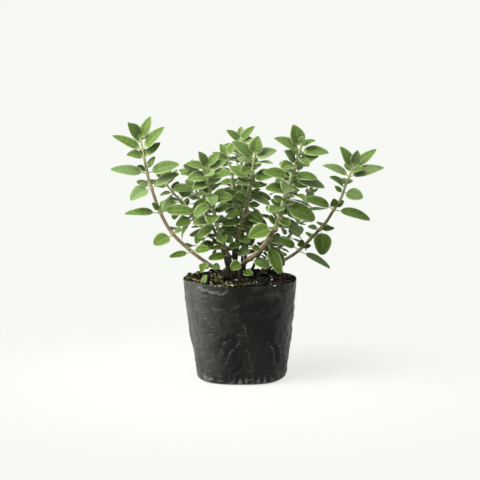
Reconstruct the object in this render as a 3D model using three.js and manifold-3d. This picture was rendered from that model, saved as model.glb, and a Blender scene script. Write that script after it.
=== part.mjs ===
// Oregano in a nursery grow bag.
//
// Twelve leafy stems rise from one crown, each standing in a plain hole in the potting soil,
// and the soil fills a thin black film bag. Oregano sets its leaves in opposite pairs, and each
// pair is turned a quarter round the stem from the pair below it; small leaves sprout in the
// angles between. The leaves that lie furthest out are placed one by one, the rest by that rule.
// Where a leaf would meet another stem or leaf it is turned, bent or made smaller until it is
// clear, as a growing leaf finds its own gap.
//
// Millimetres, +Z up, origin in the middle of the bag's flat base.

import * as THREE from 'three';
import Module from 'manifold-3d';

// ---------------------------------------------------------------- driving dimensions

const RADIANS = Math.PI / 180;
const QUARTER = Math.PI / 2;

const BAG_HEIGHT = 100;
const FILM = 1.1;                  // the film with its turned and doubled folds
const SEAT_GAP = 0.3;              // between pieces that touch
const STEM_GAP = 0.34;             // round a stem in its hole, which bends with it
const SECTORS = 36;
// outside of the bag from the base up: radius, height
const BAG_PROFILE = [[42.5, 0], [46, 2.2], [47.6, 7], [48.8, 20], [50.8, 41], [53.4, 64],
  [55.6, 86], [56.6, 96], [57, BAG_HEIGHT]];
// its inside where the base turns up into the wall
const FOOT_ROWS = 3;               // rows of the profile below the plain wall
const BAG_INNER_FOOT = [[43, 1.4], [45.9, 5]];
const SOIL_FOOT = [[42.8, 1.75], [45.55, 5.15]];
const FOLD_FREE_HEIGHT = 14;       // below this the folds fade out, so that the base stays flat
// slack folds of the film: how many go round, depth, phase, and how fast they turn with height
const FOLDS = [
  { count: 3, depth: 0.55, phase: 0.9, rise: 46 },
  { count: 5, depth: 0.4, phase: 2.1, rise: -31 },
  { count: 8, depth: 0.3, phase: 4, rise: 17 },
];
// the base is folded flat, so it has four blunt corners, and it sits a little to the right
const FOOT_WAVES = [{ count: 1, depth: 0.8, phase: Math.PI / 2 },
  { count: 4, depth: 1.6, phase: -Math.PI / 2 }];
const FOOT_WAVE_HEIGHT = 38;
const RIM_WAVES = [{ count: 2, depth: 0.6, phase: 0.5 }, { count: 5, depth: 0.4, phase: 1.2 }];

const SOIL_TOP = 98.2;
const SOIL_RINGS = [10, 21, 32, 42, 50];
const CROWN_MOUND = 3.6;
const CROWN_SPREAD = 28;
// lumps of the soil: height, the distances in x and y over which they come and go, where they start
const LUMPS = { depth: 0.9, x: 4.3, y: 5.1, startX: 1.3, startY: 0.4 };
const SWELLS = { depth: 0.5, x: 9.1, y: 7.7, start: 2 };

const STEM_STEP = 15;              // furthest that two rings of a stem lie apart
const FOOT_RINGS = [0, 10, 21];    // from the foot, along the stretch that stands in the soil
const COLLAR = 1.4;                // height of the stem's faces that leaves grow from
const COLLAR_SWELL = 1.15;
const COLLAR_PITCH = 2.4;          // nearest that two collars sit
const BUD_LENGTH = 1.6;
const FACE_TOLERANCE = 0.33;       // how far off a face's middle a leaf may sit, in quarter turns
const COLLAR_REACH = 2.2;          // leaves whose nodes lie this near share a collar
const PETIOLE = 0.2;               // stalk's share of a leaf at the foot of a stem
const PETIOLE_LOSS = 0.7;          // share of it that is gone at the growing tip
const PETIOLE_HALF_WIDTH = 0.5;
const LEAF_TOP = 4;                // power of the height: leaves change their form near the tip
// powers that shape the outline: where it is widest, how it narrows to both ends, and how much
// blunter a low leaf ends; the leaves at the growing tip stay pointed
const WIDEST = 0.76;
const TAPER = 0.74;
const TIP_ROUNDING = 0.27;
const KEEL = 0.85;                 // depth of the midrib below the blade's edges
const LARGE_LEAF = 18;             // leaves longer than this get one more row of facets
const LEAF_ROWS = { large: [0.2, 0.36, 0.64, 0.89], middle: [0.2, 0.46, 0.85], small: [0.36, 0.78] };

// how far the middle surface of a leaf stays from that of a leaf, and from the outside of a stem,
// that is on another stem; then the same on its own stem, past its own root
const CLEARANCE = { leaf: 3.1, stem: 1.7 };
const CLEARANCE_BY_RULE = { leaf: 2.3, stem: 0.7 };
const CLEARANCE_PLACED = { leaf: 1, stem: 0.2 };
const ROOM_CELL = 4.6;             // over the largest clearance from a stem's middle line
const SAMPLE_STEP = 2;
const ROOT_OUT = 0.8;              // share of the stem's radius at which a leaf's root lies
const ROOT_REACH = 2.4;            // over the stem's radius from its node a leaf is not tested
const RIM_CLEAR_RADIUS = 62;
const RIM_CLEAR_HEIGHT = 103.2;

const LEAF_GREEN = 0x4f7a2e;
const BAG_BLACK = 0x26292a;
const SOIL_BROWN = 0x2e2318;

// ---------------------------------------------------------------- the stems

// route: points from the foot of the stem, sunk in the soil, to its growing tip
// face: the side that the blades look to, beside up
// leaf: length of the longest leaf with its stalk
// placed: leaves set by hand: height of the node, then the tip from there in x, y and z, width
// first, pairs: share of the stem where the first pair sits, and how many pairs follow by rule
// apex: pairs of small leaves round the growing tip
const STEMS = [
  { name: 'stem_left_outer', seed: 900, foot: 1.8, leaf: 24, face: [-0.1, -1],
    route: [[-6, -13, 87], [-11, -12, 99], [-19, -10, 107], [-32, -9, 116], [-47, -8, 127],
      [-67, -8, 146], [-79, -8, 167], [-88, -6, 192], [-92, -5, 206], [-96, -5, 228],
      [-99, -4, 243]],
    placed: [[239, 10, 3, 23, 10], [229, 22, -7, 23, 12], [229, -30, 2, 14, 10],
      [241, -12, -11, 12, 12], [235, -14, 12, 21, 8], [238, 1, 12, 17, 9],
      [222, 16, 3, 14, 8], [222, -17, -6, 4, 10], [206, -36, -3, 4, 11], [206, 32, -4, 9, 13],
      [208, -9, -3, 7, 7], [208, 2, -7, 8, 6], [210, 7, 3, 13, 6], [221, -1, 15, 8, 10],
      [191, -20, -10, -11, 15], [191, 27, 4, 14, 10], [193, -13, 2, 7, 7], [193, 3, 17, 5, 12],
      [167, -35, -3, -1, 10], [167, 34, -4, 1, 12], [169, -7, -4, 8, 6], [169, 5, -4, 11, 7],
      [145, -19, -8, -9, 15], [146, -16, 3, 5, 7], [146, 10, -3, 4, 5], [148, 4, 17, 2, 13],
      [128, -22, -4, -5, 7], [128, 18, -6, 3, 10], [131, 5, 15, 1, 11],
      [117, -4, -26, -6, 8], [114, -9, -3, -2, 6], [114, 9, -6, -2, 7]] },
  { name: 'stem_right_outer', seed: 621, foot: 1.65, leaf: 24, face: [0.1, -1],
    route: [[10, -1, 87], [16, 0, 101], [28, 2, 109], [45, 4, 118], [59, 6, 127], [76, 8, 144],
      [86, 8, 155], [94, 8, 168], [101, 6, 180], [105, 4, 192], [109, 3, 202], [114, 2, 216]],
    placed: [[118, -6, -4, 8, 5], [127, -22, 2, 11, 9], [127, 31, -7, -17, 8],
      [129, 0, -5, 10, 7], [130, 9, 4, 2, 5], [148, -12, -3, 3, 6], [148, 15, 3, 1, 6],
      [149, 1, -12, -25, 16], [168, -30, -3, 11, 11], [168, 36, -4, -10, 11],
      [170, -2, -6, 10, 8], [170, 9, 3, 7, 6], [186, 19, -8, -5, 13], [185, -8, 3, 7, 5],
      [191, -16, -8, 11, 9], [202, -27, -3, 11, 10], [202, 34, -3, 9, 11],
      [206, 12, -11, 4, 9], [206, -6, 12, 8, 9], [211, -13, -2, 21, 10], [211, 24, 5, 18, 10],
      [214, 3, -9, 15, 9], [138, 2, 16, 4, 11], [150, 4, 16, 2, 13], [192, 3, 17, 6, 12]] },
  { name: 'stem_left_front', seed: 328, foot: 1.7, leaf: 25, face: [-0.1, -1.05],
    route: [[-7, -4, 87], [-8, -4, 104], [-10, -5, 120], [-16, -7, 135], [-22, -11, 152],
      [-27, -15, 174], [-30, -18, 190], [-31, -20, 204], [-33, -21, 217]],
    placed: [[214, -8, -6, 15, 9], [214, 12, 5, 13, 9], [213, -21, -4, 4, 9],
      [209, 19, 4, 11, 9], [205, 23, -5, 5, 11], [204, -20, -7, -2, 13], [198, -15, -9, -6, 12],
      [181, 21, -8, 2, 12], [167, 18, -7, 8, 8], [161, -22, -6, -4, 10],
      [143, 12, -4, -5, 9], [124, -20, -8, -3, 9]],
    first: 0.34, pairs: 8, apex: 1 },
  { name: 'stem_right_front', seed: 665, foot: 2.4, leaf: 27, face: [0.05, -1.05],
    route: [[1, -8, 87], [0, -9, 104], [3, -11, 116], [14, -16, 125], [25, -22, 138],
      [34, -26, 153], [39, -30, 166], [44, -34, 185], [52, -38, 211], [58, -40, 231],
      [60, -40, 240]],
    placed: [[235, -8, -2, 21, 13], [235, 15, -2, 12, 9], [237, 3, -9, 9, 8],
      [230, -25, -3, 13, 11], [230, 28, -3, -1, 11], [219, -12, -8, 12, 11], [219, 22, -4, 8, 10],
      [204, 32, -4, -9, 11], [204, -28, -4, 6, 12], [191, -21, -9, 3, 13], [176, 31, -6, -13, 16],
      [168, 27, 3, -2, 11], [165, 21, -2, -17, 9], [155, -26, -10, -9, 15], [158, -9, -8, 8, 9],
      [143, 13, 4, -2, 9], [139, 14, -8, -30, 11], [139, 18, 6, -24, 10], [133, -9, -9, 0, 8],
      [122, 19, -6, -8, 10], [117, -13, -6, -5, 10], [109, 12, -8, -3, 8]],
    first: 0.4, pairs: 9, apex: 1 },
  { name: 'stem_middle', seed: 354, foot: 2, leaf: 26, face: [0, -1.05],
    route: [[-2, 0, 87], [-4, 1, 107], [-6, 3, 124], [-3, 4, 138], [1, 5, 152], [5, 6, 163],
      [8, 6, 181], [11, 4, 198], [13, 2, 213], [16, 0, 228]],
    placed: [[224, 3, -6, 19, 13], [221, 22, -3, 7, 11], [219, -22, -2, 18, 12],
      [178, -14, -7, 5, 11], [165, 17, -6, -8, 12], [149, -18, -8, 0, 10],
      [134, 15, -5, 3, 8], [125, 16, -9, 2, 10]],
    first: 0.38, pairs: 9, apex: 1 },
  { name: 'stem_middle_back', seed: 365, foot: 1.6, leaf: 26, face: [0, -0.9],
    route: [[3, 7.5, 87], [5, 10, 115], [8, 22, 141], [7, 32, 170], [3, 38, 200], [1, 40, 221],
      [0, 40, 236]],
    placed: [[235, -14, -2, 11, 8], [235, 15, -2, 15, 8], [236, 1, 10, 13, 7],
      [233, 15, -6, 3, 9], [233, -12, -9, 3, 9]],
    first: 0.28, pairs: 9, apex: 1 },
  { name: 'stem_left_of_middle', seed: 701, foot: 1.5, leaf: 26, face: [-0.1, -0.9],
    route: [[-4, 8, 87], [-4, 11, 113], [-2, 18, 136], [-4, 24, 161], [-6, 28, 184],
      [-8, 30, 202], [-13, 32, 222]],
    placed: [[219, -8, 6, 13, 8], [221, 8, 0, 15, 8], [214, -17, -4, 10, 8]],
    first: 0.28, pairs: 9, apex: 1 },
  { name: 'stem_left_back', seed: 392, foot: 1.5, leaf: 26, face: [-0.2, -0.9],
    route: [[-10, 4, 87], [-11, 5, 108], [-13, 7, 121], [-22, 11, 133], [-32, 16, 143],
      [-48, 20, 160], [-63, 24, 178], [-74, 26, 191], [-80, 27, 201]],
    placed: [[158, -17, -8, -8, 13], [186, 22, -6, 1, 10], [190, -14, 2, 1, 8],
      [196, 9, -3, 15, 9], [197, -8, 6, 11, 8], [134, -19, -6, -5, 9]],
    first: 0.24, pairs: 9, apex: 1 },
  { name: 'stem_far_left', seed: 413, foot: 1.5, leaf: 28, face: [-0.2, -0.35],
    route: [[-11, 12, 87], [-13, 17, 107], [-20, 32, 130], [-34, 50, 157], [-47, 60, 186],
      [-53, 64, 206]],
    placed: [], first: 0.3, pairs: 8, apex: 4 },
  { name: 'stem_far_right', seed: 425, foot: 1.5, leaf: 28, face: [0.2, -0.35],
    route: [[8, 8.5, 87], [12, 12, 106], [24, 26, 128], [41, 42, 156], [55, 53, 186],
      [61, 58, 207]],
    placed: [], first: 0.3, pairs: 7, apex: 4 },
  { name: 'stem_far_back', seed: 437, foot: 1.5, leaf: 28, face: [0, -0.2],
    route: [[2, 14.5, 87], [2, 20, 110], [3, 38, 132], [1, 60, 166], [-2, 72, 200],
      [-4, 76, 222]],
    placed: [], first: 0.28, pairs: 7, apex: 4 },
  { name: 'stem_right_back', seed: 224, foot: 1.5, leaf: 26, face: [0.2, -0.35],
    route: [[15.5, 5, 87], [21, 8, 104], [32, 22, 119], [52, 40, 139], [67, 54, 164],
      [73, 60, 181]],
    placed: [], first: 0.26, pairs: 6, apex: 4 },
];
const THINNING = 0.6;              // share of a stem's radius that is gone at its tip
const THIN_TOP = 5;                // power of the height: it keeps its girth until near the tip
const FIRST_TURN = 180;            // degrees round the stem: 0 is +X, 90 is away from the front
const TANGENT_REACH = 4;           // curve points on each side that give a stem's direction

// a leaf's habit. A pair of numbers is the middle value and the spread round it; lengths and
// widths are shares, look is the tilt of the face to the right and away, the rest is degrees;
// start is how far the lowest pair of a stem is turned.
const PLACED = { widen: 1.15, bend: [30, 14], fold: [0.32, 0.1], look: [0.2, 0.2] };
const PAIR = { start: 45, turn: 14, sideTurn: 12, sideLength: 0.1, opening: [76, 20], closing: 22,
  width: [0.66, 0.07], narrowing: 0.12, bend: [34, 20], fold: [0.28, 0.1], look: [0.8, 0.8] };
const SHOOT = { length: 0.2, turn: 18, opening: [52, 14], width: [0.66, 0.08], bend: [24, 12],
  fold: 0.28, look: [0.7, 0.7] };
const APEX = { length: 0.12, turn: 14, opening: 7, width: [0.56, 0.05], bend: [22, 10], fold: 0.28,
  look: [0.3, 0.3] };

// size of a pair against the stem's longest leaf: the lowest are small, then they swell, and
// they lose a little again towards the tip
const LOWEST_PAIR = 0.62;
const PAIR_SWELL = 0.38;
const SWELL_AT_TIP = 0.92;         // how much of the swell's rise and fall is over at the tip
const TIP_LOSS = 0.1;
const PAIR_CROWDING = 0.2;         // how much closer the pairs stand at the tip
const FULL_APEX = 4;               // pairs round a tip that has no placed leaves
const PLACED_TIP_SHARE = 0.9;      // where the rule stops below a tip with placed leaves

const DROOP = 200;                 // the longer a leaf, the more its weight turns it down
const FACE_ALONG = 0.3;            // how much its face looks up the stem

// length and opening angle of the pairs round a growing tip, and how far up the stem they sit
const APEX_PAIRS = [
  { share: 0.94, length: 18, opening: 56 },
  { share: 0.968, length: 15, opening: 44 },
  { share: 0.985, length: 11, opening: 30 },
  { share: 0.997, length: 7.5, opening: 15 },
];
const LAST_PAIR_SHARE = 0.93;

// small leaves of the side shoots in a pair's angles: turn from the pair, height above it, and
// size against it; the last two only on the lower part of the stem
const SHOOTS = [
  { turn: 90, above: 1.7, size: 0.52 },
  { turn: 270, above: 1.7, size: 0.52 },
  { turn: 20, above: 5.2, size: 0.42 },
  { turn: 200, above: 5.2, size: 0.42 },
];
const SHOOTS_TO = 0.62;
const HIGHEST_SHOOT = 0.99;
const SHORTEST_LEAF = 7;
const LEAST_OPENING = 40 * RADIANS; // a leaf that makes room for others keeps at least this

// what a leaf tries in turn until it is clear: turn round the stem, opening, size
const TRIES = [[0, 0, 1], [14, 0, 1], [-14, 0, 1], [0, 12, 1], [0, -14, 1], [26, 0, 1],
  [-26, 0, 1], [14, 14, 0.85], [-14, 14, 0.85], [14, -16, 0.85], [-14, -16, 0.85],
  [38, 0, 0.8], [-38, 0, 0.8], [0, 0, 0.7], [24, 16, 0.7], [-24, 16, 0.7], [24, -18, 0.7],
  [-24, -18, 0.7], [50, 0, 0.6], [-50, 0, 0.6]];

// ---------------------------------------------------------------- vectors and draws

const plus = (a, b) => [a[0] + b[0], a[1] + b[1], a[2] + b[2]];
const minus = (a, b) => [a[0] - b[0], a[1] - b[1], a[2] - b[2]];
const times = (a, k) => [a[0] * k, a[1] * k, a[2] * k];
const dot = (a, b) => a[0] * b[0] + a[1] * b[1] + a[2] * b[2];
const cross = (a, b) => [a[1] * b[2] - a[2] * b[1], a[2] * b[0] - a[0] * b[2],
  a[0] * b[1] - a[1] * b[0]];
const unit = (a) => times(a, 1 / Math.sqrt(dot(a, a)));
const across = (a, axis) => unit(minus(a, times(axis, dot(a, axis))));

// seeded draws, the same on every run: up to an amount on both sides of nought
const DRAW = { start: 7919, factor: 1664525, addend: 1013904223, range: 2 ** 32 };

function seededSpread(seed) {
  let state = seed * DRAW.start;
  return (amount) => {
    state = (state * DRAW.factor + DRAW.addend) % DRAW.range;
    return (state / DRAW.range * 2 - 1) * amount;
  };
}

// ---------------------------------------------------------------- routes

const FINE_STEPS = 12;

// Catmull-Rom curve through the points, at t from 0 to the last point's number
function curvePoint(points, t) {
  const last = points.length - 1;
  const i = Math.min(Math.floor(t), last - 1);
  const f = t - i;
  const b = points[i];
  const c = points[i + 1];
  const a = i > 0 ? points[i - 1] : minus(times(b, 2), c);
  const d = i + 2 <= last ? points[i + 2] : minus(times(c, 2), b);
  const bend = (k) => 0.5 * (2 * b[k] + (c[k] - a[k]) * f
    + (2 * a[k] - 5 * b[k] + 4 * c[k] - d[k]) * f * f
    + (3 * b[k] - a[k] - 3 * c[k] + d[k]) * f * f * f);
  return [bend(0), bend(1), bend(2)];
}

function walk(route) {
  const points = [];
  for (let k = 0; k <= (route.length - 1) * FINE_STEPS; k += 1) {
    points.push(curvePoint(route, k / FINE_STEPS));
  }
  const lengths = [0];
  for (let k = 1; k < points.length; k += 1) {
    const step = minus(points[k], points[k - 1]);
    lengths.push(lengths[k - 1] + Math.sqrt(dot(step, step)));
  }
  return { points, lengths, total: lengths[lengths.length - 1] };
}

function between(path, k, f) {
  const low = path.points[Math.max(0, k - 1 - TANGENT_REACH)];
  const high = path.points[Math.min(path.points.length - 1, k + TANGENT_REACH)];
  const a = path.points[k - 1];
  const b = path.points[k];
  const length = path.lengths[k - 1] + (path.lengths[k] - path.lengths[k - 1]) * f;
  return { point: plus(a, times(minus(b, a), f)), along: unit(minus(high, low)),
    share: length / path.total };
}

// place and direction at a share of the stem's length
function atShare(path, share) {
  const goal = share * path.total;
  let k = 1;
  while (k < path.points.length - 1 && path.lengths[k] < goal) k += 1;
  const f = (goal - path.lengths[k - 1]) / (path.lengths[k] - path.lengths[k - 1]);
  return between(path, k, f);
}

// place and direction at a height; every stem rises all the way
function atHeight(path, height) {
  let k = 1;
  while (k < path.points.length - 1 && path.points[k][2] < height) k += 1;
  const low = path.points[k - 1][2];
  const high = path.points[k][2];
  return between(path, k, (height - low) / (high - low));
}

const stemRadius = (stem, share) => stem.foot * (1 - THINNING * share ** THIN_TOP);

// ---------------------------------------------------------------- the form of a leaf

// root: the node it grows from; d: the direction it sets out in; n: the side its face looks to
function halfWidth(leaf, u) {
  const top = leaf.share ** LEAF_TOP;
  const petiole = PETIOLE * (1 - PETIOLE_LOSS * top);
  if (u <= petiole) return PETIOLE_HALF_WIDTH;
  const q = (u - petiole) / (1 - petiole);
  const power = TAPER - TIP_ROUNDING * q * (1 - top);
  const swell = Math.max(0, Math.sin(Math.PI * q ** WIDEST)) ** power;
  return PETIOLE_HALF_WIDTH * (1 - q) + (leaf.width / 2 - PETIOLE_HALF_WIDTH / 2) * swell;
}

function leafPoint(leaf, u, v, below = 0) {
  const angle = leaf.bend * u;
  const forward = leaf.length * Math.sin(angle) / leaf.bend;
  const down = leaf.length * (1 - Math.cos(angle)) / leaf.bend;
  const side = cross(leaf.d, leaf.n);
  const up = plus(times(leaf.d, Math.sin(angle)), times(leaf.n, Math.cos(angle)));
  const middle = plus(leaf.root, minus(times(leaf.d, forward), times(leaf.n, down)));
  const half = halfWidth(leaf, u);
  const lift = leaf.fold * Math.abs(v) * half - below;
  return plus(middle, plus(times(side, v * half), times(up, lift)));
}

// points over a leaf's middle surface, about a step apart
function leafSamples(leaf) {
  const rows = Math.max(3, Math.floor(leaf.length / SAMPLE_STEP + 0.5));
  const points = [];
  for (let i = 0; i <= rows; i += 1) {
    const columns = Math.floor(2 * halfWidth(leaf, i / rows) / SAMPLE_STEP + 0.5);
    if (columns < 1) points.push(leafPoint(leaf, i / rows, 0));
    for (let j = 0; j <= columns && columns > 0; j += 1) {
      points.push(leafPoint(leaf, i / rows, -1 + 2 * j / columns));
    }
  }
  return points;
}

// ---------------------------------------------------------------- room between the leaves

class Room {
  constructor() {
    this.cells = new Map();
  }

  cell(point) {
    return point.map((value) => Math.floor(value / ROOM_CELL));
  }

  // radius: that of a stem whose middle line these points are on, or nought for a leaf
  take(points, stem, radius) {
    for (const point of points) {
      const key = this.cell(point).join();
      if (!this.cells.has(key)) this.cells.set(key, []);
      this.cells.get(key).push({ point, stem, radius });
    }
  }

  isNear(point, other, stem, own) {
    const clearance = other.stem === stem ? own : CLEARANCE;
    const limit = other.radius > 0 ? clearance.stem + other.radius : clearance.leaf;
    const gap = minus(point, other.point);
    return dot(gap, gap) < limit * limit;
  }

  isFree(points, stem, own) {
    for (const point of points) {
      const onBag = Math.hypot(point[0], point[1]) < RIM_CLEAR_RADIUS;
      if (onBag && point[2] < RIM_CLEAR_HEIGHT) return false;
      const [x, y, z] = this.cell(point);
      for (let i = x - 1; i <= x + 1; i += 1) {
        for (let j = y - 1; j <= y + 1; j += 1) {
          for (let k = z - 1; k <= z + 1; k += 1) {
            const others = this.cells.get([i, j, k].join()) ?? [];
            if (others.some((other) => this.isNear(point, other, stem, own))) return false;
          }
        }
      }
    }
    return true;
  }
}

// ---------------------------------------------------------------- what grows where

function placedWishes(stem, path, spread) {
  const near = ([middle, amount]) => middle + spread(amount);
  return stem.placed.map(([height, x, y, z, width]) => ({
    rank: 0, ...atHeight(path, height), tip: [x, y, z], width: width * PLACED.widen,
    bend: near(PLACED.bend) * RADIANS, fold: near(PLACED.fold), look: PLACED.look.map(spread),
  }));
}

function pairWishes(stem, path, spread) {
  const near = ([middle, amount]) => middle + spread(amount);
  const wishes = [];
  const top = stem.apex === FULL_APEX ? LAST_PAIR_SHARE : PLACED_TIP_SHARE;
  const start = FIRST_TURN + spread(PAIR.start);
  for (let k = 0; k < stem.pairs; k += 1) {
    const t = k / stem.pairs;
    const climb = t * (1 + PAIR_CROWDING - PAIR_CROWDING * t) * stem.pairs / (stem.pairs - 1);
    const share = Math.min(LAST_PAIR_SHARE, stem.first + (top - stem.first) * climb);
    const height = (share - stem.first) / (1 - stem.first);
    const swell = Math.sin(Math.PI * SWELL_AT_TIP * t);
    const size = stem.leaf * (LOWEST_PAIR + PAIR_SWELL * swell) * (1 - TIP_LOSS * t * t);
    const turn = (start + 90 * k + spread(PAIR.turn)) * RADIANS;
    for (const side of [0, 1]) {
      const length = size * (1 + spread(PAIR.sideLength));
      wishes.push({ rank: 1, ...atShare(path, share), length,
        turn: turn + Math.PI * side + spread(PAIR.sideTurn) * RADIANS,
        opening: (near(PAIR.opening) - PAIR.closing * height) * RADIANS,
        width: length * (near(PAIR.width) - PAIR.narrowing * height),
        bend: near(PAIR.bend) * RADIANS, fold: near(PAIR.fold), look: PAIR.look.map(spread) });
    }
    for (const shoot of height < SHOOTS_TO ? SHOOTS : SHOOTS.slice(0, 2)) {
      const length = Math.max(SHORTEST_LEAF, shoot.size * size * (1 + spread(SHOOT.length)));
      const above = Math.min(HIGHEST_SHOOT, (share * path.total + shoot.above) / path.total);
      wishes.push({ rank: 2, ...atShare(path, above), length,
        turn: turn + (shoot.turn + spread(SHOOT.turn)) * RADIANS,
        opening: near(SHOOT.opening) * RADIANS, width: length * near(SHOOT.width),
        bend: near(SHOOT.bend) * RADIANS, fold: SHOOT.fold, look: SHOOT.look.map(spread) });
    }
  }
  return wishes;
}

function apexWishes(stem, path, spread) {
  const near = ([middle, amount]) => middle + spread(amount);
  const wishes = [];
  APEX_PAIRS.slice(APEX_PAIRS.length - stem.apex).forEach((pair, k) => {
    for (const side of [0, 1]) {
      const length = pair.length * (1 + spread(APEX.length));
      wishes.push({ rank: 2, ...atShare(path, pair.share), length,
        turn: (FIRST_TURN + 90 * k + 180 * side + spread(APEX.turn)) * RADIANS,
        opening: (pair.opening + spread(APEX.opening)) * RADIANS, width: length * near(APEX.width),
        bend: near(APEX.bend) * RADIANS, fold: APEX.fold, look: APEX.look.map(spread) });
    }
  });
  return wishes;
}

// the side that a leaf turns its face to
function lightOn(stem, wish) {
  return unit([stem.face[0] + wish.look[0], stem.face[1] + wish.look[1], 1]);
}

// a leaf given by its tip: its blade bends down evenly on both sides of the straight line there
function aimAtTip(wish, stem, turn, size) {
  const light = lightOn(stem, wish);
  const offset = times(across(wish.tip, wish.along), ROOT_OUT * stemRadius(stem, wish.share));
  const reach = minus(wish.tip, offset);
  const straight = unit(reach);
  const side = unit(cross(straight, light));
  const chord = unit(plus(times(straight, Math.cos(turn / 2)), times(side, Math.sin(turn / 2))));
  const n = across(light, chord);
  const half = wish.bend / 2;
  return { root: plus(wish.point, offset),
    d: plus(times(chord, Math.cos(half)), times(n, Math.sin(half))),
    n: minus(times(n, Math.cos(half)), times(chord, Math.sin(half))),
    length: Math.sqrt(dot(reach, reach)) * size * half / Math.sin(half) };
}

// a leaf given by its turn round the stem and how far it opens from it
function openFromStem(wish, stem, turn, opening, size) {
  const first = across([1, 0, 0], wish.along);
  const second = cross(wish.along, first);
  const round = wish.turn + turn;
  const out = plus(times(first, Math.cos(round)), times(second, Math.sin(round)));
  const angle = Math.max(Math.min(wish.opening, LEAST_OPENING), wish.opening + opening);
  const set = plus(times(wish.along, Math.cos(angle)), times(out, Math.sin(angle)));
  const length = wish.length * size;
  const d = unit(minus(set, [0, 0, length / DROOP]));
  const light = plus(lightOn(stem, wish), times(wish.along, FACE_ALONG));
  const root = plus(wish.point, times(out, ROOT_OUT * stemRadius(stem, wish.share)));
  return { root, d, n: across(light, d), length };
}

function growLeaf(room, wish, stem) {
  for (const [turn, opening, size] of TRIES) {
    const aim = wish.tip
      ? aimAtTip(wish, stem, turn * RADIANS, size)
      : openFromStem(wish, stem, turn * RADIANS, opening * RADIANS, size);
    const leaf = { ...wish, ...aim, width: wish.width * size };
    const samples = leafSamples(leaf);
    const rootReach = ROOT_REACH + stemRadius(stem, wish.share);
    const blade = samples.filter((point) => {
      const reach = minus(point, leaf.root);
      return dot(reach, reach) > rootReach * rootReach;
    });
    const own = wish.rank === 0 ? CLEARANCE_PLACED : CLEARANCE_BY_RULE;
    if (room.isFree(blade, stem.seed, own)) {
      room.take(samples, stem.seed, 0);
      return leaf;
    }
  }
  return null;
}

// all leaves of all stems, the most prominent first
function growLeaves(paths) {
  const room = new Room();
  const wishes = [];
  STEMS.forEach((stem, i) => {
    const steps = Math.floor(paths[i].total / SAMPLE_STEP);
    for (let k = 0; k <= steps; k += 1) {
      const { point, share } = atShare(paths[i], k / steps);
      room.take([point], stem.seed, stemRadius(stem, share));
    }
  });
  STEMS.forEach((stem, i) => {
    const spread = seededSpread(stem.seed);
    const mine = placedWishes(stem, paths[i], spread);
    if (stem.pairs) mine.push(...pairWishes(stem, paths[i], spread));
    if (stem.apex) mine.push(...apexWishes(stem, paths[i], spread));
    mine.forEach((wish) => wishes.push({ ...wish, owner: i }));
  });
  const leaves = STEMS.map(() => []);
  for (const rank of [0, 1, 2]) {
    wishes.filter((wish) => wish.rank === rank).forEach((wish) => {
      const leaf = growLeaf(room, wish, STEMS[wish.owner]);
      if (leaf) leaves[wish.owner].push(leaf);
    });
  }
  return leaves;
}

// ---------------------------------------------------------------- skins

// points and outward triangles; a ring turns right-handed round the way the skin grows
class Skin {
  constructor() {
    this.points = [];
    this.faces = [];
  }

  add(points) {
    const start = this.points.length;
    this.points.push(...points);
    return points.map((_, k) => start + k);
  }

  quad(a, b, c, d) {
    this.faces.push([a, b, c], [a, c, d]);
  }

  // leaning: split each four-cornered face along its other diagonal
  join(low, high, leaning = false) {
    for (let k = 0; k < low.length; k += 1) {
      const next = (k + 1) % low.length;
      if (leaning) this.quad(low[next], high[next], high[k], low[k]);
      else this.quad(low[k], low[next], high[next], high[k]);
    }
  }

  close(ring, point) {
    const [tip] = this.add([point]);
    ring.forEach((a, k) => this.faces.push([a, ring[(k + 1) % ring.length], tip]));
  }

  // flat start of a skin, seen from outside
  cap(ring) {
    for (let k = 1; k < ring.length - 1; k += 1) this.faces.push([ring[0], ring[k + 1], ring[k]]);
  }
}

// a skin through rings of equal size, from a flat start to a flat end or a point
function loft(rings, tip) {
  const skin = new Skin();
  const placed = rings.map((ring) => skin.add(ring));
  skin.cap(placed[0]);
  for (let k = 1; k < placed.length; k += 1) skin.join(placed[k - 1], placed[k]);
  const end = placed[placed.length - 1];
  if (tip) skin.close(end, tip);
  else skin.cap([...end].reverse());
  return skin;
}

// ---------------------------------------------------------------- a leafy stem in one skin

// the four corners of a square stem at a share of its length
function stemCorners(path, share, radius, base) {
  const { point, along } = atShare(path, share);
  const first = across([1, 0, 0], along);
  const second = cross(along, first);
  return [0, 1, 2, 3].map((k) => {
    const angle = base + k * QUARTER;
    return plus(point, plus(times(first, radius * Math.cos(angle)),
      times(second, radius * Math.sin(angle))));
  });
}

// angle round the stem at which a leaf sets out
function turnOf(leaf) {
  const first = across([1, 0, 0], leaf.along);
  const out = minus(leaf.root, leaf.point);
  return Math.atan2(dot(out, cross(leaf.along, first)), dot(out, first));
}

function faceOf(turn, base) {
  const quarters = Math.round((turn - base) / QUARTER - 0.5);
  return ((quarters % 4) + 4) % 4;
}

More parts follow.
